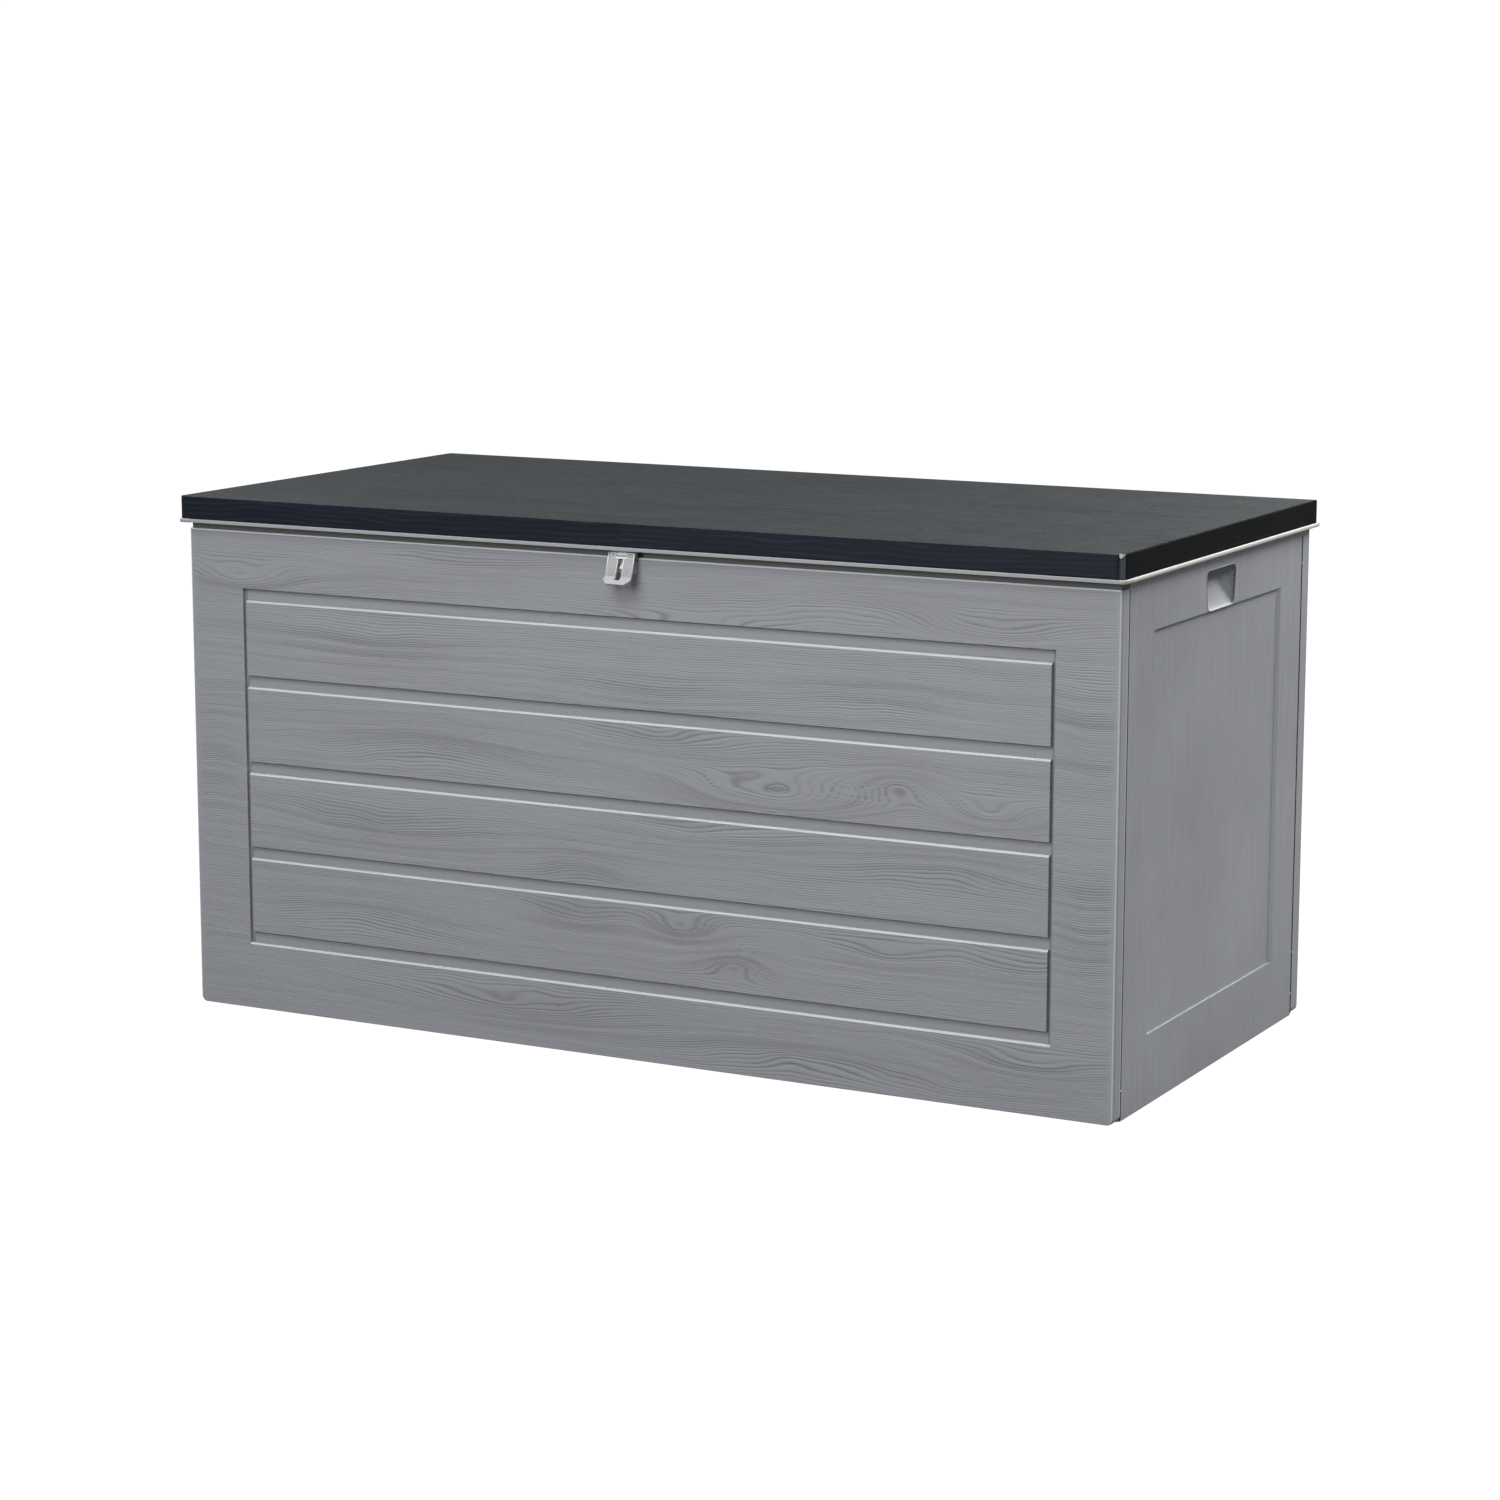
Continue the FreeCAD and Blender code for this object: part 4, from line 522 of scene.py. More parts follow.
# Knots of the wood figure: x, z, length, height and lift, in millimetres
BOARD_KNOTS = [
    [(-420, 560, 150, 30, 14), (360, 540, 120, 22, -12), (40, 520, 160, 26, 10)],
    [(219, 390, 150, 34, 46), (550, 394, 62, 24, 26), (418, 428, 60, 24, -26), (60, 452, 120, 20, 18),
     (-330, 420, 150, 30, -18)],
    [(140, 330, 190, 22, 16), (470, 322, 150, 22, -16), (-400, 290, 170, 30, 18), (-80, 270, 90, 22, -12)],
    [(88, 188, 70, 24, 34), (170, 160, 60, 22, -28), (407, 190, 120, 22, 22), (610, 190, 90, 24, 18),
     (-85, 190, 90, 26, 24), (-420, 165, 160, 30, -18)],
]
FRAME_KNOTS = [(-640, 632, 120, 26, 30), (100, 604, 150, 26, 34), (330, 665, 140, 20, -16), (560, 640, 120, 22, 20),
               (-300, 676, 160, 18, 12), (690, 520, 60, 60, 10), (-690, 380, 50, 70, -12), (-200, 50, 220, 26, 26),
               (300, 40, 200, 24, -22), (600, 60, 120, 26, 24), (690, 250, 50, 80, 12)]


def metres(knots):
    return [tuple(number * MM for number in knot) for knot in knots]


# Where the sheet has extra points across an edge
NEAR_EDGE = np.array([-1.0, -0.7, -0.4, -0.15, 0.0, 0.18, 0.35]) * MM


def front_plan(layout, face):
    """Place and outward direction of each column from the left seam to the right one, and which are flat."""
    corner = 3.0 * MM
    flat = lines_between(-HALF + corner, HALF - corner, 5 * MM, (layout.board_half,), NEAR_EDGE)
    flat = np.unique(np.round(np.concatenate([flat, -flat, layout.field_half - NEAR_EDGE,
                                              NEAR_EDGE - layout.field_half]), 6))
    turn = np.radians(np.linspace(0, 90, 6))[1:]
    side = np.linspace(face + corner, SKIN_END, 6)[1:]
    arc_x = HALF - corner + corner * np.sin(turn)
    arc_y = face + corner - corner * np.cos(turn)
    right = np.concatenate([np.stack([arc_x, arc_y, np.sin(turn), -np.cos(turn)], 1),
                            np.stack([np.full(5, HALF), side, np.ones(5), np.zeros(5)], 1)])
    middle = np.stack([flat, np.full(len(flat), face), np.zeros(len(flat)), -np.ones(len(flat))], 1)
    left = right[::-1] * np.array([-1, 1, -1, 1])
    plan = np.concatenate([left[:1], left, middle, right, right[-1:]])
    is_flat = np.zeros(len(plan), bool)
    is_flat[1 + len(left):1 + len(left) + len(middle)] = True
    return plan, is_flat


def front_depth(sizes, layout, x, z):
    """Depth of the grooves round the boards, and the number of the board at each point, or 0."""
    lift, radius, deep, bevel = sizes.skin_lift, sizes.edge_radius, sizes.groove_depth, sizes.board_bevel
    depth = np.full(x.shape, deep)
    member = np.zeros(x.shape, int)
    for number, (low, high) in enumerate(layout.boards):
        ends = drop(np.abs(x) - layout.board_half, deep, radius)
        upper = drop_bevel(z - high, deep, bevel)
        lower = drop(low - z, deep, WALL_SLANT)
        depth = np.minimum(depth, np.maximum(np.maximum(ends, upper), lower))
        member[(np.abs(x) < layout.board_half + MM) & (z > low - MM) & (z < high + MM)] = number + 1
    frame_drop = np.minimum(drop(layout.field_half - np.abs(x), deep, radius),
                            drop_bevel(z - layout.low - lift, deep, bevel))
    frame_drop = np.minimum(frame_drop, drop(layout.high - lift - z, deep, WALL_SLANT))
    return np.minimum(depth, frame_drop), member


def edge_shade(beneath, within):
    """Painted shade down to 14 mm beneath an edge, darkest close to it."""
    return 0.75 * np.exp(-beneath / (1.3 * MM)) * (within & (beneath > 0.2 * MM) & (beneath < 14 * MM))


def front_tone(sizes, layout, x, z, grain, is_flat):
    """Darker down in the grain, painted shade under each board and under the frame's upper edge, painted highlights on
    the bevels and the corners.
    """
    lift, bevel = sizes.skin_lift, sizes.board_bevel
    tone = -0.4 * grain
    inside, within = np.abs(x) < layout.board_half, np.abs(x) < layout.field_half
    # Painted highlight on each board's upper bevel and painted shade under its lower edge
    for low, high in layout.boards:
        tone += 0.8 * (inside & (z > high - bevel) & (z < high + 0.1 * MM))
        tone -= edge_shade(low - z, inside)
    # Painted highlight on the bevel below the lowest board and painted shade under the frame's upper edge
    tone += 0.8 * (within & (z > layout.low - 2.2 * MM) & (z < layout.low + 0.5 * MM))
    tone -= edge_shade(layout.high - lift - z, within)
    # Painted shade in the upright grooves at the boards' ends, and painted highlights on the bevel at the top and on
    # the box's corners
    beside_boards = (np.abs(x) > layout.board_half + 0.3 * MM) & within
    tone -= 0.3 * (beside_boards & (z > layout.low) & (z < layout.high))
    tone += 2.0 * (is_flat & (z > FRONT_TOP + lift - 1.7 * MM))
    tone += 0.6 * ((np.abs(x) > HALF - 2.2 * MM) & (np.abs(x) < HALF + 0.6 * MM))
    return tone


def front_points(plan, is_flat, out, z):
    """The skin's points, with rounded lower corners, turned in at the ground and over the finger recess."""
    foot, foot_start, foot_turn = 9.0 * MM, 0.68, 2.5 * MM
    cut = foot - np.sqrt(foot ** 2 - np.clip(foot - z, 0, foot) ** 2)
    share = np.clip((np.abs(plan[:, 0]) - foot_start) / (HALF - foot_start), 0, 1)[None, :]
    points = np.empty(z.shape + (3,))
    points[..., 0] = plan[:, 0] + plan[:, 2] * out - np.sign(plan[:, 0]) * cut * share
    points[..., 1] = plan[:, 1] + plan[:, 3] * out
    points[..., 2] = z
    inward = np.where(is_flat, 11.7 * MM, 2.8 * MM)
    over, under = points[-1].copy(), points[0].copy()
    for axis in (0, 1):
        over[:, axis] = plan[:, axis] - plan[:, axis + 2] * inward
        under[:, axis] -= plan[:, axis + 2] * foot_turn
    return np.concatenate([under[None], points, over[None]])


class CUSHIONBOX_OT_front_skin(bpy.types.Operator):
    """Grained outer skin of the front panel with its four boards"""

    bl_idname = "cushion_box.front_skin"
    bl_label = "Front Skin"

    def execute(self, context):
        sizes = context.scene.cushion_box_sizes
        lift, bevel, face = sizes.skin_lift, sizes.board_bevel, FRONT[0][1]
        layout = FrontLayout(sizes)
        plan, is_flat = front_plan(layout, face)
        edges = [z for pair in layout.boards for z in pair] + [layout.low + lift, layout.high - lift]
        upward = lines_between(0.2 * MM, FRONT_TOP + lift, 0.7 * MM, edges,
                               np.concatenate([NEAR_EDGE, -NEAR_EDGE, [-bevel, bevel]]))
        along = np.where(is_flat, plan[:, 0], np.sign(plan[:, 0]) * (HALF + np.abs(plan[:, 1] - face)))
        x, z = np.meshgrid(along, upward)
        depth, member = front_depth(sizes, layout, x, z)
        depth = np.where(is_flat, depth, 0)
        depth = np.maximum(depth, np.clip(z - (FRONT_TOP + lift - bevel), 0, None) * is_flat)
        # Wood figure of the frame and of each board
        relief = wood_relief(x, z, metres(FRAME_KNOTS), sizes.grain_pitch, 11)
        for number, knots in enumerate(BOARD_KNOTS):
            own = wood_relief(x, z, metres(knots), sizes.grain_pitch, 31 + 10 * number)
            relief = np.where(member == number + 1, own, relief)
        # The grain is faint in the grooves and fades out at the corners
        in_groove = depth > 0.5 * sizes.groove_depth
        calm = np.where(in_groove, 0.12, 1.0) * np.clip((HALF - 4 * MM - np.abs(x)) / (8 * MM), 0, 1)
        out = lift - depth + sizes.grain_depth * np.clip(relief - 0.6, -0.7, 0.4) * calm
        out[:, 0] = out[:, -1] = -0.9 * MM
        tone = front_tone(sizes, layout, x, z, np.clip((0.6 - relief) / 0.7, 0, 1) * calm, is_flat)
        skin = grid_object("front_skin", front_points(plan, is_flat, out, z), finish("wall_front"))
        store_tone(skin, np.concatenate([tone[:1], tone, 0.1 * tone[-1:]]))
        attach(skin, "box")
        return {"FINISHED"}


class CUSHIONBOX_OT_front_trim(bpy.types.Operator):
    """Strip behind the finger recess under the lid, darker as painted shade, and the grooves along the upright seams,
    dark as painted shade of the gaps
    """

    bl_idname = "cushion_box.front_trim"
    bl_label = "Recess and Seams"

    def execute(self, context):
        face = FRONT[0][1]
        neck_y, reach, hasp_room = face + 4.0 * MM, HALF - 1.2 * MM, 26 * MM
        # From the right end to the middle, where the strip steps back behind the hasp
        turn = [(reach, SKIN_END), (reach, neck_y + 2.0 * MM), (reach - 0.1 * MM, neck_y + 0.8 * MM),
                (reach - 0.8 * MM, neck_y + 0.1 * MM), (reach - 2.0 * MM, neck_y)]
        turn += [(x, neck_y) for x in np.linspace(reach - 10 * MM, hasp_room + MM, 8)]
        turn += [(hasp_room, neck_y + 0.2 * MM), (hasp_room, face + 11.5 * MM), (hasp_room - MM, face + 11.7 * MM)]
        around = turn + [(-x, y) for x, y in reversed(turn)]
        neck = [[(x, y, z) for x, y in around] for z in (FRONT_TOP - MM, FRONT_TOP + 9.9 * MM)]
        # The strip is darker than the wall as painted shade under the lid
        attach(grid_object("finger_recess_skin", np.array(neck), finish("recess")), "box")
        # A shallow dark V over each upright seam; its near-black colour is painted shade of the gap between the walls
        # Across a seam and out of the wall, in millimetres
        section = ((-1.1, 0.5), (-0.8, 0.2), (0.8, 0.2), (1.1, 0.5))
        for side, sign in SIDES:
            for end, y in (("front", FRONT_SEAM), ("back", BACK_SEAM)):
                rows = [[(sign * (HALF + out * MM), y + shift * MM, z) for shift, out in section]
                        for z in np.linspace(3 * MM, FRONT_TOP - MM, 20)]
                attach(grid_object(f"seam_{end}_{side}", np.array(rows), finish("seam")), "box")
        return {"FINISHED"}


class CUSHIONBOX_OT_side_trim(bpy.types.Operator):
    """Slope at the rear edge of each side field, and the tips of the pegs in the seams"""

    bl_idname = "cushion_box.side_trim"
    bl_label = "Field Slopes and Peg Tips"

    def execute(self, context):
        # How far out the slope lies and how far back, from the bottom of the field up to the wall
        slope_line = ((-3.4, 232.6), (-3.0, 233.4), (-0.3, 236.7), (0.05, 237.3))
        field_low, field_high = 98.5 * MM, 641.5 * MM
        seam_pegs = ((FRONT_SEAM, 42), (BACK_SEAM, 33), (BACK_SEAM, 95), (BACK_SEAM, 668))
        for side, sign in SIDES:
            rows = [[(sign * (HALF + out * MM), y * MM, z) for out, y in slope_line]
                    for z in np.linspace(field_low, field_high, 12)]
            slope = grid_object(f"field_slope_{side}", np.array(rows), finish("wall_side"))
            # Painted light: the slope's shape is drawn, and it is set lighter than the wall around it
            store_tone(slope, np.full((len(rows), len(slope_line)), 0.55))
            tips = bmesh.new()
            for y, z in seam_pegs:
                place = Matrix.Translation((sign * (HALF - 0.1 * MM), y, z * MM))
                bmesh.ops.create_uvsphere(tips, u_segments=12, v_segments=8, radius=1.2 * MM, matrix=place)
            name = f"peg_tips_{side}"
            attach(add_object(name, mesh_of(name, tips, smooth=True), finish("peg")), "box")
            attach(slope, "box")
        return {"FINISHED"}


def rounded_loop(corners, radius, steps=6):
    """A closed outline with its corners rounded, as points in the plane."""
    points = []
    count = len(corners)
    for number, corner in enumerate(corners):
        corner = Vector(corner)
        back = (Vector(corners[number - 1]) - corner).normalized()
        onward = (Vector(corners[(number + 1) % count]) - corner).normalized()
        half = back.angle(onward) / 2
        middle = corner + (back + onward).normalized() * (radius / math.sin(half))
        start = corner + back * (radius / math.tan(half)) - middle
        end = corner + onward * (radius / math.tan(half)) - middle
        for step in range(steps + 1):
            spot = start.lerp(end, step / steps).normalized() * radius
            points.append(middle + spot)
    return points


def bead(name, loop, to_place, radius, material, sides=8):
    """A round bead along a closed outline. to_place turns outline coordinates and height into a point."""
    loop = [Vector(point) for point in loop]
    count = len(loop)
    table = np.empty((count, sides, 3))
    for number, point in enumerate(loop):
        ahead = (loop[(number + 1) % count] - loop[number - 1]).normalized()
        across = Vector((ahead.y, -ahead.x))
        for side in range(sides):
            angle = 2 * math.pi * side / sides
            spot = point + across * (radius * math.cos(angle))
            table[number, side] = to_place(spot.x, spot.y, radius * math.sin(angle))
    table = np.concatenate([table, table[:1]])
    return grid_object(name, table, material, closed=True)


class CUSHIONBOX_OT_handles(bpy.types.Operator):
    """Rolled rim round each handle pocket and the scooped bowl inside it"""

    bl_idname = "cushion_box.handles"
    bl_label = "Handles"

    def execute(self, context):
        # The pocket widens upward from 100 to 114 mm
        corners = [(-50, 642), (50, 642), (57, 698), (-57, 698)]
        loop = rounded_loop([(y * MM, z * MM) for y, z in corners], 10 * MM)
        low, high, half_low, widening = 642.5 * MM, 697.5 * MM, 50 * MM, 7 * MM
        # Length of the bowl's steep front end and of its slow rear end, its depth, and its depth at the rim
        front_end, rear_end, bowl_depth, rim_depth = 9 * MM, 26 * MM, 25 * MM, 0.9 * MM
        for side, sign in SIDES:
            face = sign * (HALF - 0.35 * MM)
            rim = bead(f"handle_rim_{side}", loop, lambda y, z, out: (face + sign * out, y, z), 0.9 * MM,
                       finish("wall_side"))
            attach(rim, "box")
            y, z = np.meshgrid(np.linspace(-56.5, 56.5, 114) * MM, np.linspace(642.5, 697.5, 56) * MM)
            share = (z - low) / (high - low)
            edge = half_low + widening * share
            beside = np.clip((edge + y) / front_end, 0, 1) * np.clip((edge - y) / rear_end, 0, 1) ** 0.8
            above = np.clip((1 - share) / 0.09, 0, 1)
            bowl = np.sqrt(1 - (1 - beside) ** 2) * np.sqrt(1 - (1 - above) ** 2) * share ** 0.85
            points = np.stack([sign * (HALF - (rim_depth + bowl_depth * bowl)), y, z], -1)
            scoop = grid_object(f"handle_scoop_{side}", points, finish("scoop"))
            # Painted light at the upper rear and painted shade at the upper front, as in the photograph
            store_tone(scoop, 0.75 * share * np.clip((y + 10 * MM) / (40 * MM), 0, 1)
                       - 0.3 * share * np.clip((20 * MM - y) / (50 * MM), 0, 1))
            attach(scoop, "box")
        return {"FINISHED"}


# Lid

LID_KNOTS = [(-420, -180, 160, 50, 60), (-160, 60, 140, 46, -50), (120, -120, 200, 60, 70), (-40, -300, 120, 30, 30),
             (420, 80, 220, 56, -50), (560, -200, 160, 40, 40), (-560, 180, 180, 50, 50), (60, 240, 240, 50, -40)]


def lid_outline(sizes):
    """Plan of the skirt from mid-front round the right side, and the columns where its sheets end."""
    half, front, back = SHELL[1][0], SHELL[0][1], SHELL[1][1]
    radius, step = 5 * MM, 6 * MM
    before = [(x, front) for x in np.arange(0, half - sizes.notch_width - 1e-6, step)]
    # The notch, at the right corner only: millimetres from the side, and share of its depth
    notch = [(half - off * MM, front + sizes.notch_depth * down) for off, down in
             ((9.6, 0.05), (9.1, 0.2), (8.8, 0.45), (8.4, 0.7), (6.0, 0.8), (3.0, 0.87), (1.4, 0.97), (0.5, 1.1),
              (0.0, 1.5))]
    rounded = [(half - radius * (1 - math.sin(angle)), front + radius * (1 - math.cos(angle)))
               for angle in np.radians(np.linspace(0, 90, 9))]
    after = [(half, y) for y in np.arange(front + 10 * MM, back - radius - 1e-6, step)]
    rear = len(before) + len(notch) + len(after) + 3
    after += [(half - radius + radius * math.cos(angle), back - radius + radius * math.sin(angle))
              for angle in np.radians(np.linspace(0, 90, 6))]
    after += [(x, back) for x in np.arange(half - radius - step, 0, -step)]
    right, left = np.array(before + notch + after), np.array(before + rounded + after)
    loop = np.concatenate([right, left[::-1][:-1] * np.array([-1, 1])])
    # The front sheet ends in the notch and at the left corner
    first, turn = len(before) + 2, len(before) + 7
    last = len(right) + len(left) - 1 - (len(before) + 4)
    return loop, first, turn, rear, last


def lid_skirt(sizes, loop):
    """Points and tones of the skirt, from inside its lower edge up and a little way over the top."""
    half, front, back = SHELL[1][0], SHELL[0][1], SHELL[1][1]
    low, top, radius = SHELL[0][2], SHELL[1][2], sizes.lid_radius
    middle, thickness, in_over_top = (front + back) / 2, 3.0 * MM, 40 * MM
    along = np.cumsum(np.linalg.norm(loop - np.roll(loop, 1, axis=0), axis=1))
    # Height and distance in from the outside
    levels = [(low + 14 * MM, thickness), (low, thickness), (low, 0.5 * MM), (low + 0.5 * MM, 0.0)]
    levels += [(z, 0.0) for z in np.arange(low + 1.6 * MM, top - radius, 1.2 * MM)]
    levels += [(top - radius * (1 - math.sin(angle)), radius * (1 - math.cos(angle)))
               for angle in np.radians(np.linspace(0, 90, 8))]
    rows, tones = [], []
    for z, inset in levels:
        height, outside = np.full(len(loop), z), inset < 0.0001
        relief = wood_relief(along, height, [], sizes.grain_pitch, 77)
        wavy = wood_relief(along, height, [], 2.5 * sizes.grain_pitch, 78)
        out = sizes.lid_grain_depth * 0.5 * (relief - 0.6) * outside - inset
        x = loop[:, 0] * (half + out) / half
        y = middle + (loop[:, 1] - middle) * (back - middle + out) / (back - middle)
        rows.append(np.stack([x, y, height], 1))
        tones.append(3.0 * (0.6 - wavy) * outside)
    centre = rows[-1].copy()
    centre[:, 0] = np.clip(centre[:, 0], -half + in_over_top, half - in_over_top)
    centre[:, 1] = np.clip(centre[:, 1], front + in_over_top, back - in_over_top)
    centre[:, 2] -= 0.6 * MM
    return np.stack(rows + [centre]), np.stack(tones + [tones[-1]])


def lid_field(sizes):
    """The grained top of the lid, drawn back at the notch."""
    half, front, back, top = SHELL[1][0], SHELL[0][1], SHELL[1][1], SHELL[1][2]
    inset, depth = sizes.lid_radius - 0.3 * MM, sizes.lid_grain_depth
    across = np.arange(front + inset, back - inset + 1e-6, 1.6 * MM)
    lengthwise = np.append(np.linspace(-half + inset, half - 9.9 * MM, 258), [half - 9.4 * MM, half - inset])
    x, y = np.meshgrid(lengthwise, across)
    relief = wood_relief(x, y, metres(LID_KNOTS), 1.3 * sizes.grain_pitch, 91)
    rim = np.minimum(np.minimum(half - inset - np.abs(x), y - across[0]), across[-1] - y)
    fade = np.clip(rim / (5 * MM), 0, 1)
    y = np.where(x > half - 9.6 * MM, np.maximum(y, front + 3.2 * MM + 0.02 * (y - front)), y)
    points = np.stack([x, y, top - 0.05 * MM + depth * (relief - 0.6) * fade + 0.1 * MM * fade], -1)
    field = grid_object("lid_top_field", points, finish("lid_top"))
    # Broad flames, short flecks, the lines of the grain and long thin streaks
    flames = wood_relief(x, y, metres(LID_KNOTS), 6 * sizes.grain_pitch, 93)
    flecks = smooth_noise(x / 0.02 + 3, y / 0.005 + 11, 95) * smooth_noise(x / 0.11 + 5, y / 0.03 + 2, 96)
    streaks = smooth_noise(x / 0.07 + 9, y / 0.0032 + 4, 97)
    store_tone(field, 0.6 * (0.6 - flames) + 0.6 * (flecks - 0.25) + 0.9 * (relief - 0.6)
               + 0.7 * (streaks - 0.5))
    return field


class CUSHIONBOX_OT_lid(bpy.types.Operator):
    """Lid shell with its skirt, front edge painted as a highlight, notch in the right front corner and grained top"""

    bl_idname = "cushion_box.lid"
    bl_label = "Lid Shell"

    def execute(self, context):
        sizes = context.scene.cushion_box_sizes
        half, front, top = SHELL[1][0], SHELL[0][1], SHELL[1][2]
        loop, first, turn, rear, last = lid_outline(sizes)
        table, tones = lid_skirt(sizes, loop)
        around = np.arange(len(loop))
        pieces = {}
        for name, shade, columns in (
                ("lid_front_skirt", "skirt", np.concatenate([around[last:], around[:first + 1]])),
                # The side skirts take a darker copy of the skirt colour as painted shade
                ("lid_side_skirt", "skirt_side", around[turn:rear + 1]),
                ("lid_back_skirt", "skirt", around[rear:last + 1]),
                # The notch strip takes a lighter grey as a painted highlight
                ("lid_notch_strip", "strip", around[first:turn + 1])):
            pieces[name] = grid_object(name, table[:, columns], finish(shade))
            if name != "lid_notch_strip":
                store_tone(pieces[name], tones[:, columns])
        # A pale facet at the top of the notch
        facet = bpy.data.meshes.new("lid_notch_facet")
        facet.from_pydata([(half - 12.2 * MM, front + 2.2 * MM, top + 0.25 * MM),
                           (half - 0.1 * MM, front + 3.7 * MM, top + 0.25 * MM),
                           (half - 6.0 * MM, front - 0.3 * MM, top - 6.2 * MM)], [], [(0, 2, 1)])
        pieces["facet"] = add_object("lid_notch_facet", facet, finish("scuffed"))
        # A painted highlight along the lid's rounded front edge
        edge = [[(x, front + y * MM, top - z * MM) for y, z in ((0.1, 1.7), (0.2, 0.4), (1.3, 0.0))]
                for x in np.linspace(-half + 6 * MM, half - 11 * MM, 40)]
        pieces["edge"] = grid_object("lid_front_edge", np.array(edge), finish("lid_edge"))
        pieces["field"] = lid_field(sizes)
        for piece in pieces.values():
            attach(piece, "lid")
        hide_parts("lid_shell")
        return {"FINISHED"}


class CUSHIONBOX_OT_liner(bpy.types.Operator):
    """Pale lid liner with the caps on its front corners and along its sides"""

    bl_idname = "cushion_box.liner"
    bl_label = "Lid Liner"

    def execute(self, context):
        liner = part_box("lid_liner")
        low = SHELL[0][2] - 5.5 * MM
        corner_x, corner_y = liner[1][0] + 0.2 * MM, liner[0][1] - 0.2 * MM
        radius, cap_end = 8 * MM, corner_y + 26 * MM
        middle = Vector((corner_x - 12 * MM, corner_y + 12 * MM))
        # How far out and how high each point of the rim's section lies, in millimetres
        section = [(-3.0, 0.3), (-0.6, 0.0), (0.0, 0.6), (0.25, 2.7), (0.0, 4.8), (-0.6, 5.45), (-3.0, 5.45)]
        for side, sign, reach, corner in (("left", -1, 20, "liner"), ("right", 1, 9, "cap")):
            path = [(corner_x - reach * MM, corner_y), (corner_x - radius, corner_y)]
            path += [(corner_x - radius + radius * math.sin(a), corner_y + radius - radius * math.cos(a))
                     for a in np.radians(np.linspace(15, 75, 5))]
            path += [(corner_x, corner_y + radius), (corner_x, cap_end)]
            rear = [(corner_x, y) for y in np.linspace(cap_end, liner[1][1] - 4 * MM, 24)]
            for name, points, shade, less in (("cap", path, corner, 0.0), ("rim", rear, "rim_side", 0.15)):
                rows = []
                for x, y in points:
                    away = Vector((max(x - middle.x, 0), min(y - middle.y, 0))).normalized()
                    rows.append([(sign * (x + away.x * (out - less) * MM), y + away.y * (out - less) * MM,
                                  low + up * MM) for out, up in section])
                cap = grid_object(f"liner_{name}_{side}", np.array(rows), finish(shade), closed=True)
                attach(cap, "lid")
        return {"FINISHED"}


# Fittings


def islands(node_name):
    """Lowest and highest corner of each separate solid of a node."""
    mesh = bmesh.new()
    mesh.from_mesh(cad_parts[node_name].data)
    bmesh.ops.remove_doubles(mesh, verts=mesh.verts, dist=1e-6)
    left = set(mesh.verts)
    boxes = []
    while left:
        grown, queue = set(), [min(left, key=lambda vert: vert.index)]
        while queue:
            vert = queue.pop()
            if vert in grown:
                continue
            grown.add(vert)
            queue += [edge.other_vert(vert) for edge in vert.link_edges]
        left -= grown
        spots = np.array([vert.co for vert in grown])
        boxes.append((spots.min(axis=0), spots.max(axis=0)))
    mesh.free()
    return sorted(boxes, key=lambda box: tuple(np.round(box[0], 5)))


def screw_mesh(name):
    """A pan head with a cross recess on a threaded shank, head up, its underside at the origin."""
    # Radius and height along the screw, in millimetres
    profile = [(0.0, 2.2), (1.4, 2.15), (2.6, 1.85), (3.4, 1.3), (3.8, 0.6), (3.9, 0.1), (3.8, 0.0), (2.0, 0.0)]
    thread_pitch, thread_turns, thread_start = 0.78, 11, -0.8
    for number in range(thread_turns):
        depth = thread_start - number * thread_pitch
        profile += [(1.55, depth), (2.0, depth - thread_pitch / 2)]
    profile += [(1.4, -9.6), (0.0, -10.0)]
    steps = 20
    rows = [[(r * MM * math.cos(a), r * MM * math.sin(a), z * MM) for a in np.linspace(0, 2 * math.pi, steps,
             endpoint=False)] for r, z in profile]
    whole = bmesh.new()
    rings = [[whole.verts.new(point) for point in row] for row in rows]
    for upper, lower in zip(rings, rings[1:]):
        for number in range(steps):
            after = (number + 1) % steps
            whole.faces.new([upper[number], lower[number], lower[after], upper[after]])
    bmesh.ops.remove_doubles(whole, verts=whole.verts, dist=1e-7)
    screw = link_object(name, mesh_of(name, whole))
    tool = bmesh.new()
    for turn in (0, math.pi / 2):
        made = bmesh.ops.create_cube(tool, size=1.0)
        bmesh.ops.scale(tool, verts=made["verts"], vec=(4.2 * MM, 0.9 * MM, 3.0 * MM))
        bmesh.ops.translate(tool, verts=made["verts"], vec=(0, 0, 2.4 * MM))
        bmesh.ops.rotate(tool, verts=made["verts"], cent=(0, 0, 0), matrix=Matrix.Rotation(turn, 3, "Z"))
    cutter = link_object(name + "_recess", mesh_of(name + "_recess", tool))
    recess = screw.modifiers.new("recess", "BOOLEAN")
    recess.object = cutter
    recess.solver = "EXACT"
    recess.use_self = True
    result = bpy.data.meshes.new_from_object(screw.evaluated_get(bpy.context.evaluated_depsgraph_get()))
    bpy.data.objects.remove(screw)
    bpy.data.objects.remove(cutter)
    return result


# The body of each kind of screw and the way its heads face
SCREWS = {
    "hinge_wall_screws": ("box", (0, 1, 0)),
    "hinge_lid_screws": ("lid", (0, 1, 0)),
    "lid_screws": ("lid", (0, 0, -1)),
    "latch_staple_screws": ("box", (0, -1, 0)),
    "latch_bracket_screws": ("lid", (0, 0, -1)),
    "strut_head_screws": ("lid", (0, 0, -1)),
    "strut_foot_screws_left": ("box", (1, 0, 0)),
    "strut_foot_screws_right": ("box", (-1, 0, 0)),
}
HEAD_HEIGHT = 2.2 * MM


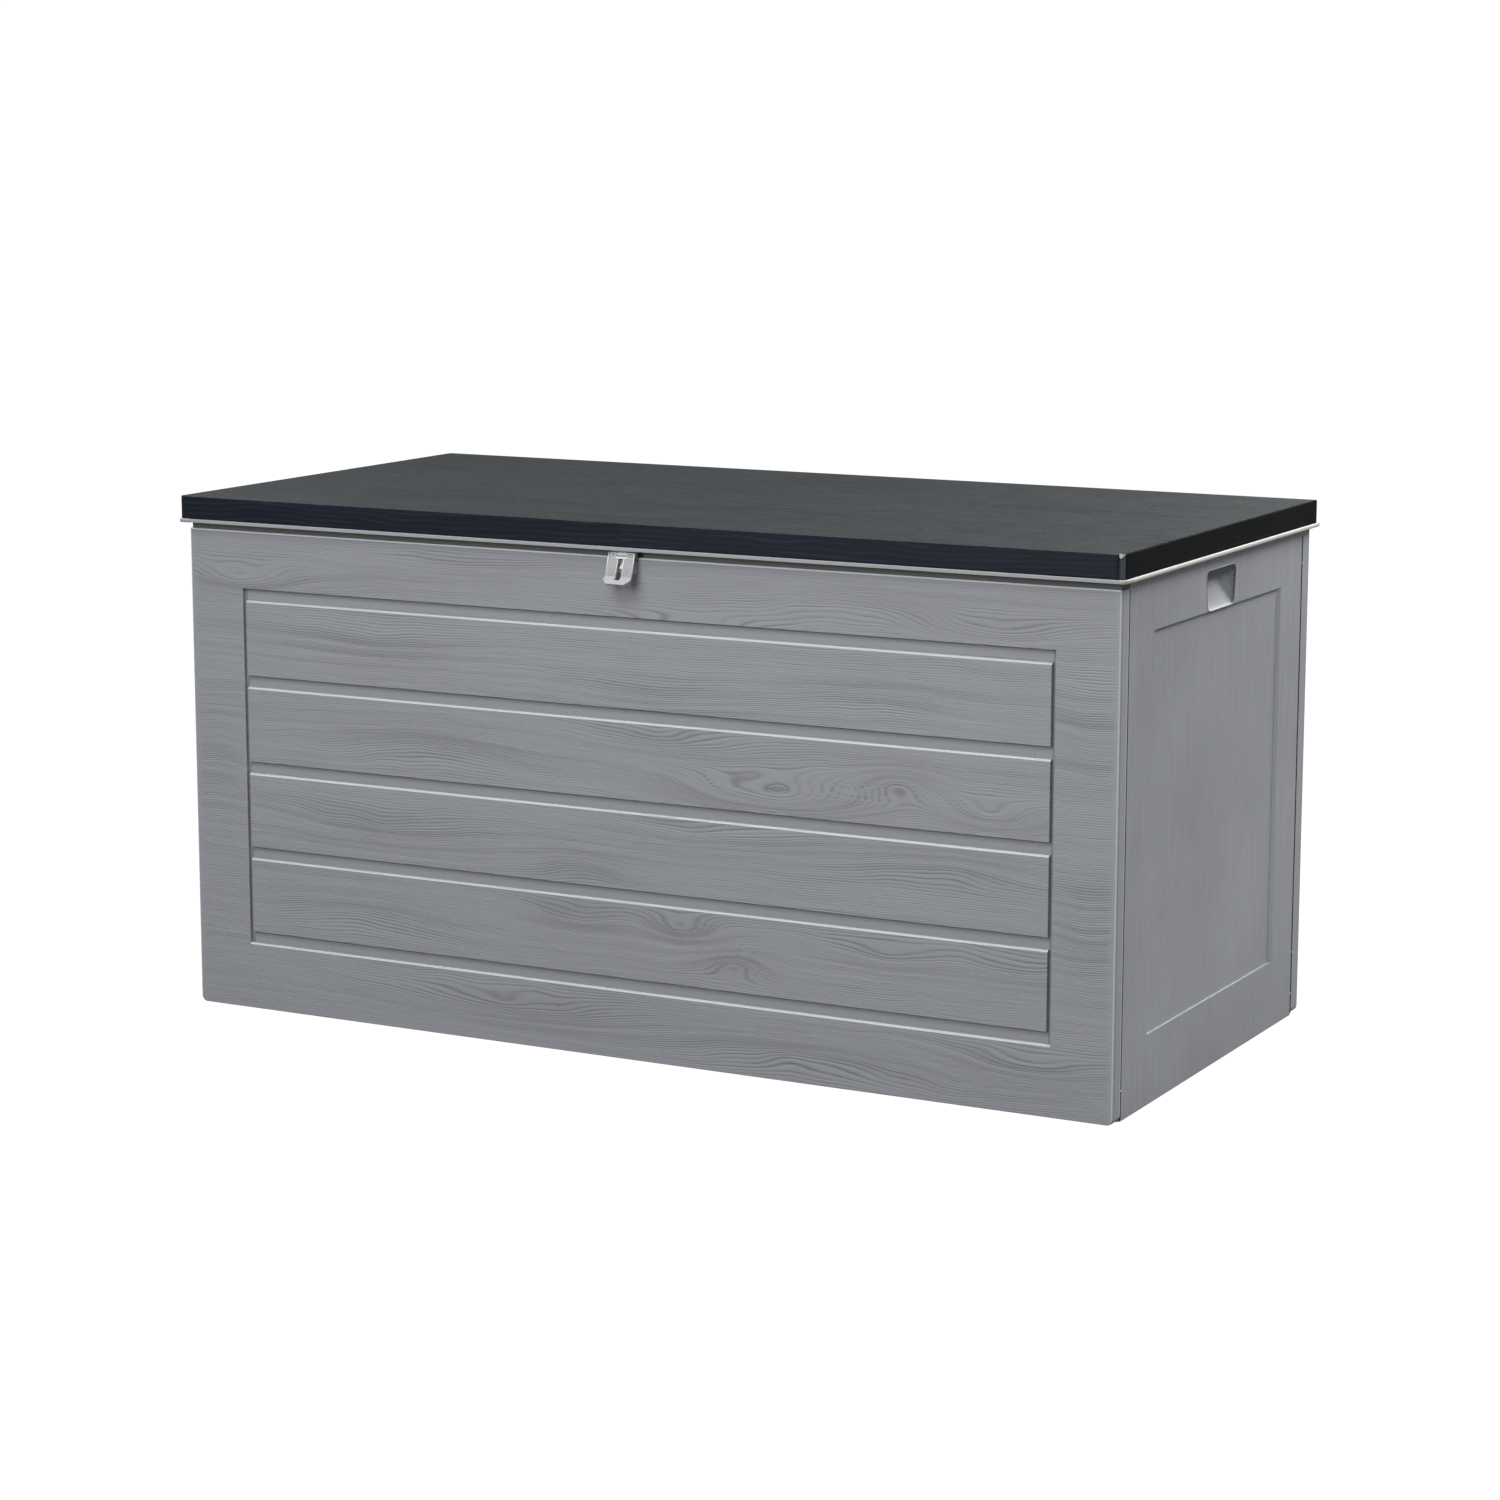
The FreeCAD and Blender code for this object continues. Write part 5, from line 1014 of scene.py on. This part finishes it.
class CUSHIONBOX_OT_screws(bpy.types.Operator):
    """Cross-head screws in place of the plain ones"""

    bl_idname = "cushion_box.screws"
    bl_label = "Screws"

    def execute(self, context):
        shape = screw_mesh("cross_screw")
        for number, (node, (body, out)) in enumerate(SCREWS.items()):
            joined = bmesh.new()
            for place, (low, high) in enumerate(islands(node)):
                centre = (Vector(low) + Vector(high)) / 2
                axis = Vector(out)
                reach = abs((Vector(high) - Vector(low)).dot(axis)) / 2
                seat = centre + axis * (reach - HEAD_HEIGHT)
                turn = axis.to_track_quat("Z", "Y").to_matrix().to_4x4()
                spin = Matrix.Rotation(0.7 * place + 0.4 * number, 4, "Z")
                copy = shape.copy()
                copy.transform(Matrix.Translation(seat) @ turn @ spin)
                joined.from_mesh(copy)
                bpy.data.meshes.remove(copy)
            name = f"{node}_cross_head"
            piece = add_object(name, mesh_of(name, joined), finish("zinc"))
            attach(piece, body)
            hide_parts(node)
        bpy.data.meshes.remove(shape)
        return {"FINISHED"}


class CUSHIONBOX_OT_latch(bpy.types.Operator):
    """Ribs, raised edges, cells and bridge on the face of the hasp"""

    bl_idname = "cushion_box.latch"
    bl_label = "Hasp Face"

    def execute(self, context):
        # From the hasp's own upright frame to its resting place on the hook
        place = Matrix.Translation(HASP_AXIS) @ Matrix.Rotation(HASP_LEAN, 4, Vector((-1, 0, 0)))
        face = -3.6
        # The slot and side edges, the cells and the bridge take a lighter copy of the latch colour as a painted
        # highlight
        # Round ribs down the plate: name, finish, radius, lower and upper end, and where they stand
        for name, shade, radius, low, high, spots in (
                ("hasp_ribs", "latch", 0.4, -31, -7, (-15.0, -11.6, -8.2, 8.2, 11.6, 15.0)),
                ("hasp_slot_edges", "latch_edge", 0.6, -31, -6.4, (-4.8, 4.8)),
                ("hasp_side_edges", "latch_edge", 0.6, -31, 2, (-20.2, 20.2))):
            joined = bmesh.new()
            for centre in spots:
                made = bmesh.ops.create_cone(joined, cap_ends=True, segments=10, radius1=radius * MM,
                                             radius2=radius * MM, depth=(high - low) * MM)
                shift = Matrix.Translation((centre * MM, (face + 0.1) * MM, (low + high) / 2 * MM))
                bmesh.ops.transform(joined, verts=made["verts"], matrix=place @ shift)
            attach(add_object(name, mesh_of(name, joined, smooth=True), finish(shade)), "hasp")
        # A beaded cell on each side of the slot, and the bridge over the slot
        cell_low, cell_high = -5.6 * MM, 1.6 * MM
        for side, low, high in (("left", -15.6, -8.9), ("right", 8.7, 19.4)):
            loop = rounded_loop([(low * MM, cell_low), (high * MM, cell_low), (high * MM, cell_high),
                                 (low * MM, cell_high)], 1.2 * MM)
            cell = bead(f"hasp_cell_{side}", loop, lambda x, z, out: place @ Vector((x, (face + 0.1) * MM - out, z)),
                        0.55 * MM, finish("latch_edge"))
            attach(cell, "hasp")
        joined = bmesh.new()
        made = bmesh.ops.create_cube(joined, size=1.0)
        bmesh.ops.scale(joined, verts=made["verts"], vec=(16.2 * MM, 1.4 * MM, 2.9 * MM))
        bmesh.ops.transform(joined, verts=made["verts"],
                            matrix=place @ Matrix.Translation((0, (face + 0.7) * MM, -4.95 * MM)))
        bridge = add_object("hasp_bridge", mesh_of("hasp_bridge", joined), finish("latch_edge"))
        attach(bridge, "hasp")
        return {"FINISHED"}


# Studio


def area_light(name, place, target, power, width, height):
    light = bpy.data.lights.new(name, "AREA")
    light.shape = "RECTANGLE"
    light.size, light.size_y = width, height
    light.energy = power
    lamp = link_object(name, light)
    lamp.location = place
    lamp.rotation_euler = (Vector(target) - Vector(place)).to_track_quat("-Z", "Y").to_euler()


def white_where_seen(tree, surface, colour, share):
    """The surface as lit, blended with plain white where the eye meets it."""
    path = add_node(tree, "LightPath")
    amount = add_node(tree, "Math", {0: path.outputs["Is Camera Ray"], 1: share}, operation="MULTIPLY")
    white = add_node(tree, "Emission" if share < 1 else "Background", {"Color": tuple(colour), "Strength": 1.1})
    return add_node(tree, "MixShader", {0: amount.outputs[0], 1: surface, 2: white.outputs[0]}).outputs[0]


# Place of the camera, and its heading, pitch and roll in degrees, as solved from the photograph's edges
CAMERA_PLACE = (2.5195, -4.7545, 1.3373)
CAMERA_TURN = (27.875, 10.045, 0.055)
FLOOR_GREY, FLOOR_HALF = 0.14, 40


class CUSHIONBOX_OT_studio(bpy.types.Operator):
    """Plain pale floor, soft light and the camera"""

    bl_idname = "cushion_box.studio"
    bl_label = "Studio"

    def execute(self, context):
        settings = context.scene.cushion_box_studio
        context.scene.view_settings.view_transform = "Standard"
        material = bpy.data.materials.new("studio_floor")
        material.use_nodes = True
        tree = material.node_tree
        shader = tree.nodes["Principled BSDF"]
        shader.inputs["Base Color"].default_value = (FLOOR_GREY, FLOOR_GREY, FLOOR_GREY, 1)
        shader.inputs["Roughness"].default_value = 0.9
        blend = white_where_seen(tree, shader.outputs[0], settings.backdrop, 0.93)
        tree.links.new(blend, tree.nodes["Material Output"].inputs["Surface"])
        mesh = bpy.data.meshes.new("studio_floor")
        corners = [(x * FLOOR_HALF, y * FLOOR_HALF, 0) for x, y in ((-1, -1), (1, -1), (1, 1), (-1, 1))]
        mesh.from_pydata(corners, [], [(0, 1, 2, 3)])
        add_object("studio_floor", mesh, material)
        world = bpy.data.worlds.new("studio_sky")
        context.scene.world = world
        world.use_nodes = True
        tree = world.node_tree
        sky = tree.nodes["Background"]
        sky.inputs["Color"].default_value = (0.95, 0.975, 1, 1)
        sky.inputs["Strength"].default_value = settings.sky
        blend = white_where_seen(tree, sky.outputs[0], settings.backdrop, 1)
        tree.links.new(blend, tree.nodes["World Output"].inputs["Surface"])
        # Name, place, target, power, width and height
        lamps = [
            ("key_light", (-0.1, -3.0, 3.6), (0, -0.2, 0.4), settings.key_power, 2.6, 1.6),
            ("top_light", (0, -0.3, 4.6), (0, -0.1, 0.4), settings.top_power, 2.6, 1.8),
            ("front_light", (-0.2, -4.6, 2.2), (0, 0, 0.4), settings.front_power, 2.6, 2.0),
            ("side_light", (2.8, -0.4, 4.0), (0, 0, 0.4), settings.side_power, 2.2, 2.0),
            ("left_light", (-3.4, 0.8, 2.6), (0, 0.2, 0.4), settings.left_power, 1.8, 1.8),
            ("back_light", (1.9, 4.0, 3.4), (0, 0, 0.7), settings.back_power, 3.0, 2.0),
        ]
        for lamp in lamps:
            area_light(*lamp)
        eye = bpy.data.cameras.new("camera")
        eye.lens = settings.lens
        eye.sensor_width = 36
        camera = link_object("camera", eye)
        heading, pitch, roll = (math.radians(angle) for angle in CAMERA_TURN)
        ahead = Vector((-math.sin(heading) * math.cos(pitch), math.cos(heading) * math.cos(pitch), -math.sin(pitch)))
        right = Vector((math.cos(heading), math.sin(heading), 0))
        upward = right.cross(ahead)
        across = right * math.cos(roll) + upward * math.sin(roll)
        upright = upward * math.cos(roll) - right * math.sin(roll)
        turn = Matrix((across, upright, -ahead)).transposed().to_4x4()
        camera.matrix_world = Matrix.Translation(CAMERA_PLACE) @ turn
        context.scene.camera = camera
        return {"FINISHED"}


class CUSHIONBOX_PT_pieces(bpy.types.Panel):
    """The box's pieces in the sidebar"""

    bl_label = "Cushion Box"
    bl_space_type = "VIEW_3D"
    bl_region_type = "UI"
    bl_category = "Cushion Box"

    def draw(self, context):
        for operator in OPERATORS:
            self.layout.operator(operator.bl_idname)
        for group, settings in (("Colours", context.scene.cushion_box_colours),
                                ("Sizes", context.scene.cushion_box_sizes),
                                ("Studio", context.scene.cushion_box_studio)):
            self.layout.label(text=group)
            for name in settings.__annotations__:
                self.layout.prop(settings, name)


OPERATORS = [
    CUSHIONBOX_OT_packed_nodes,
    CUSHIONBOX_OT_front_skin,
    CUSHIONBOX_OT_front_trim,
    CUSHIONBOX_OT_side_trim,
    CUSHIONBOX_OT_handles,
    CUSHIONBOX_OT_lid,
    CUSHIONBOX_OT_liner,
    CUSHIONBOX_OT_screws,
    CUSHIONBOX_OT_latch,
    CUSHIONBOX_OT_studio,
]
CLASSES = [BoxColours, BoxSizes, StudioSettings, *OPERATORS, CUSHIONBOX_PT_pieces]


def register():
    for entry in CLASSES:
        bpy.utils.register_class(entry)
    bpy.types.Scene.cushion_box_colours = bpy.props.PointerProperty(type=BoxColours)
    bpy.types.Scene.cushion_box_sizes = bpy.props.PointerProperty(type=BoxSizes)
    bpy.types.Scene.cushion_box_studio = bpy.props.PointerProperty(type=StudioSettings)


def unregister():
    del bpy.types.Scene.cushion_box_studio
    del bpy.types.Scene.cushion_box_sizes
    del bpy.types.Scene.cushion_box_colours
    for entry in reversed(CLASSES):
        bpy.utils.unregister_class(entry)


def main():
    register()
    for operator in OPERATORS:
        group, name = operator.bl_idname.split(".")
        getattr(getattr(bpy.ops, group), name)()


if __name__ == "__main__":
    main()
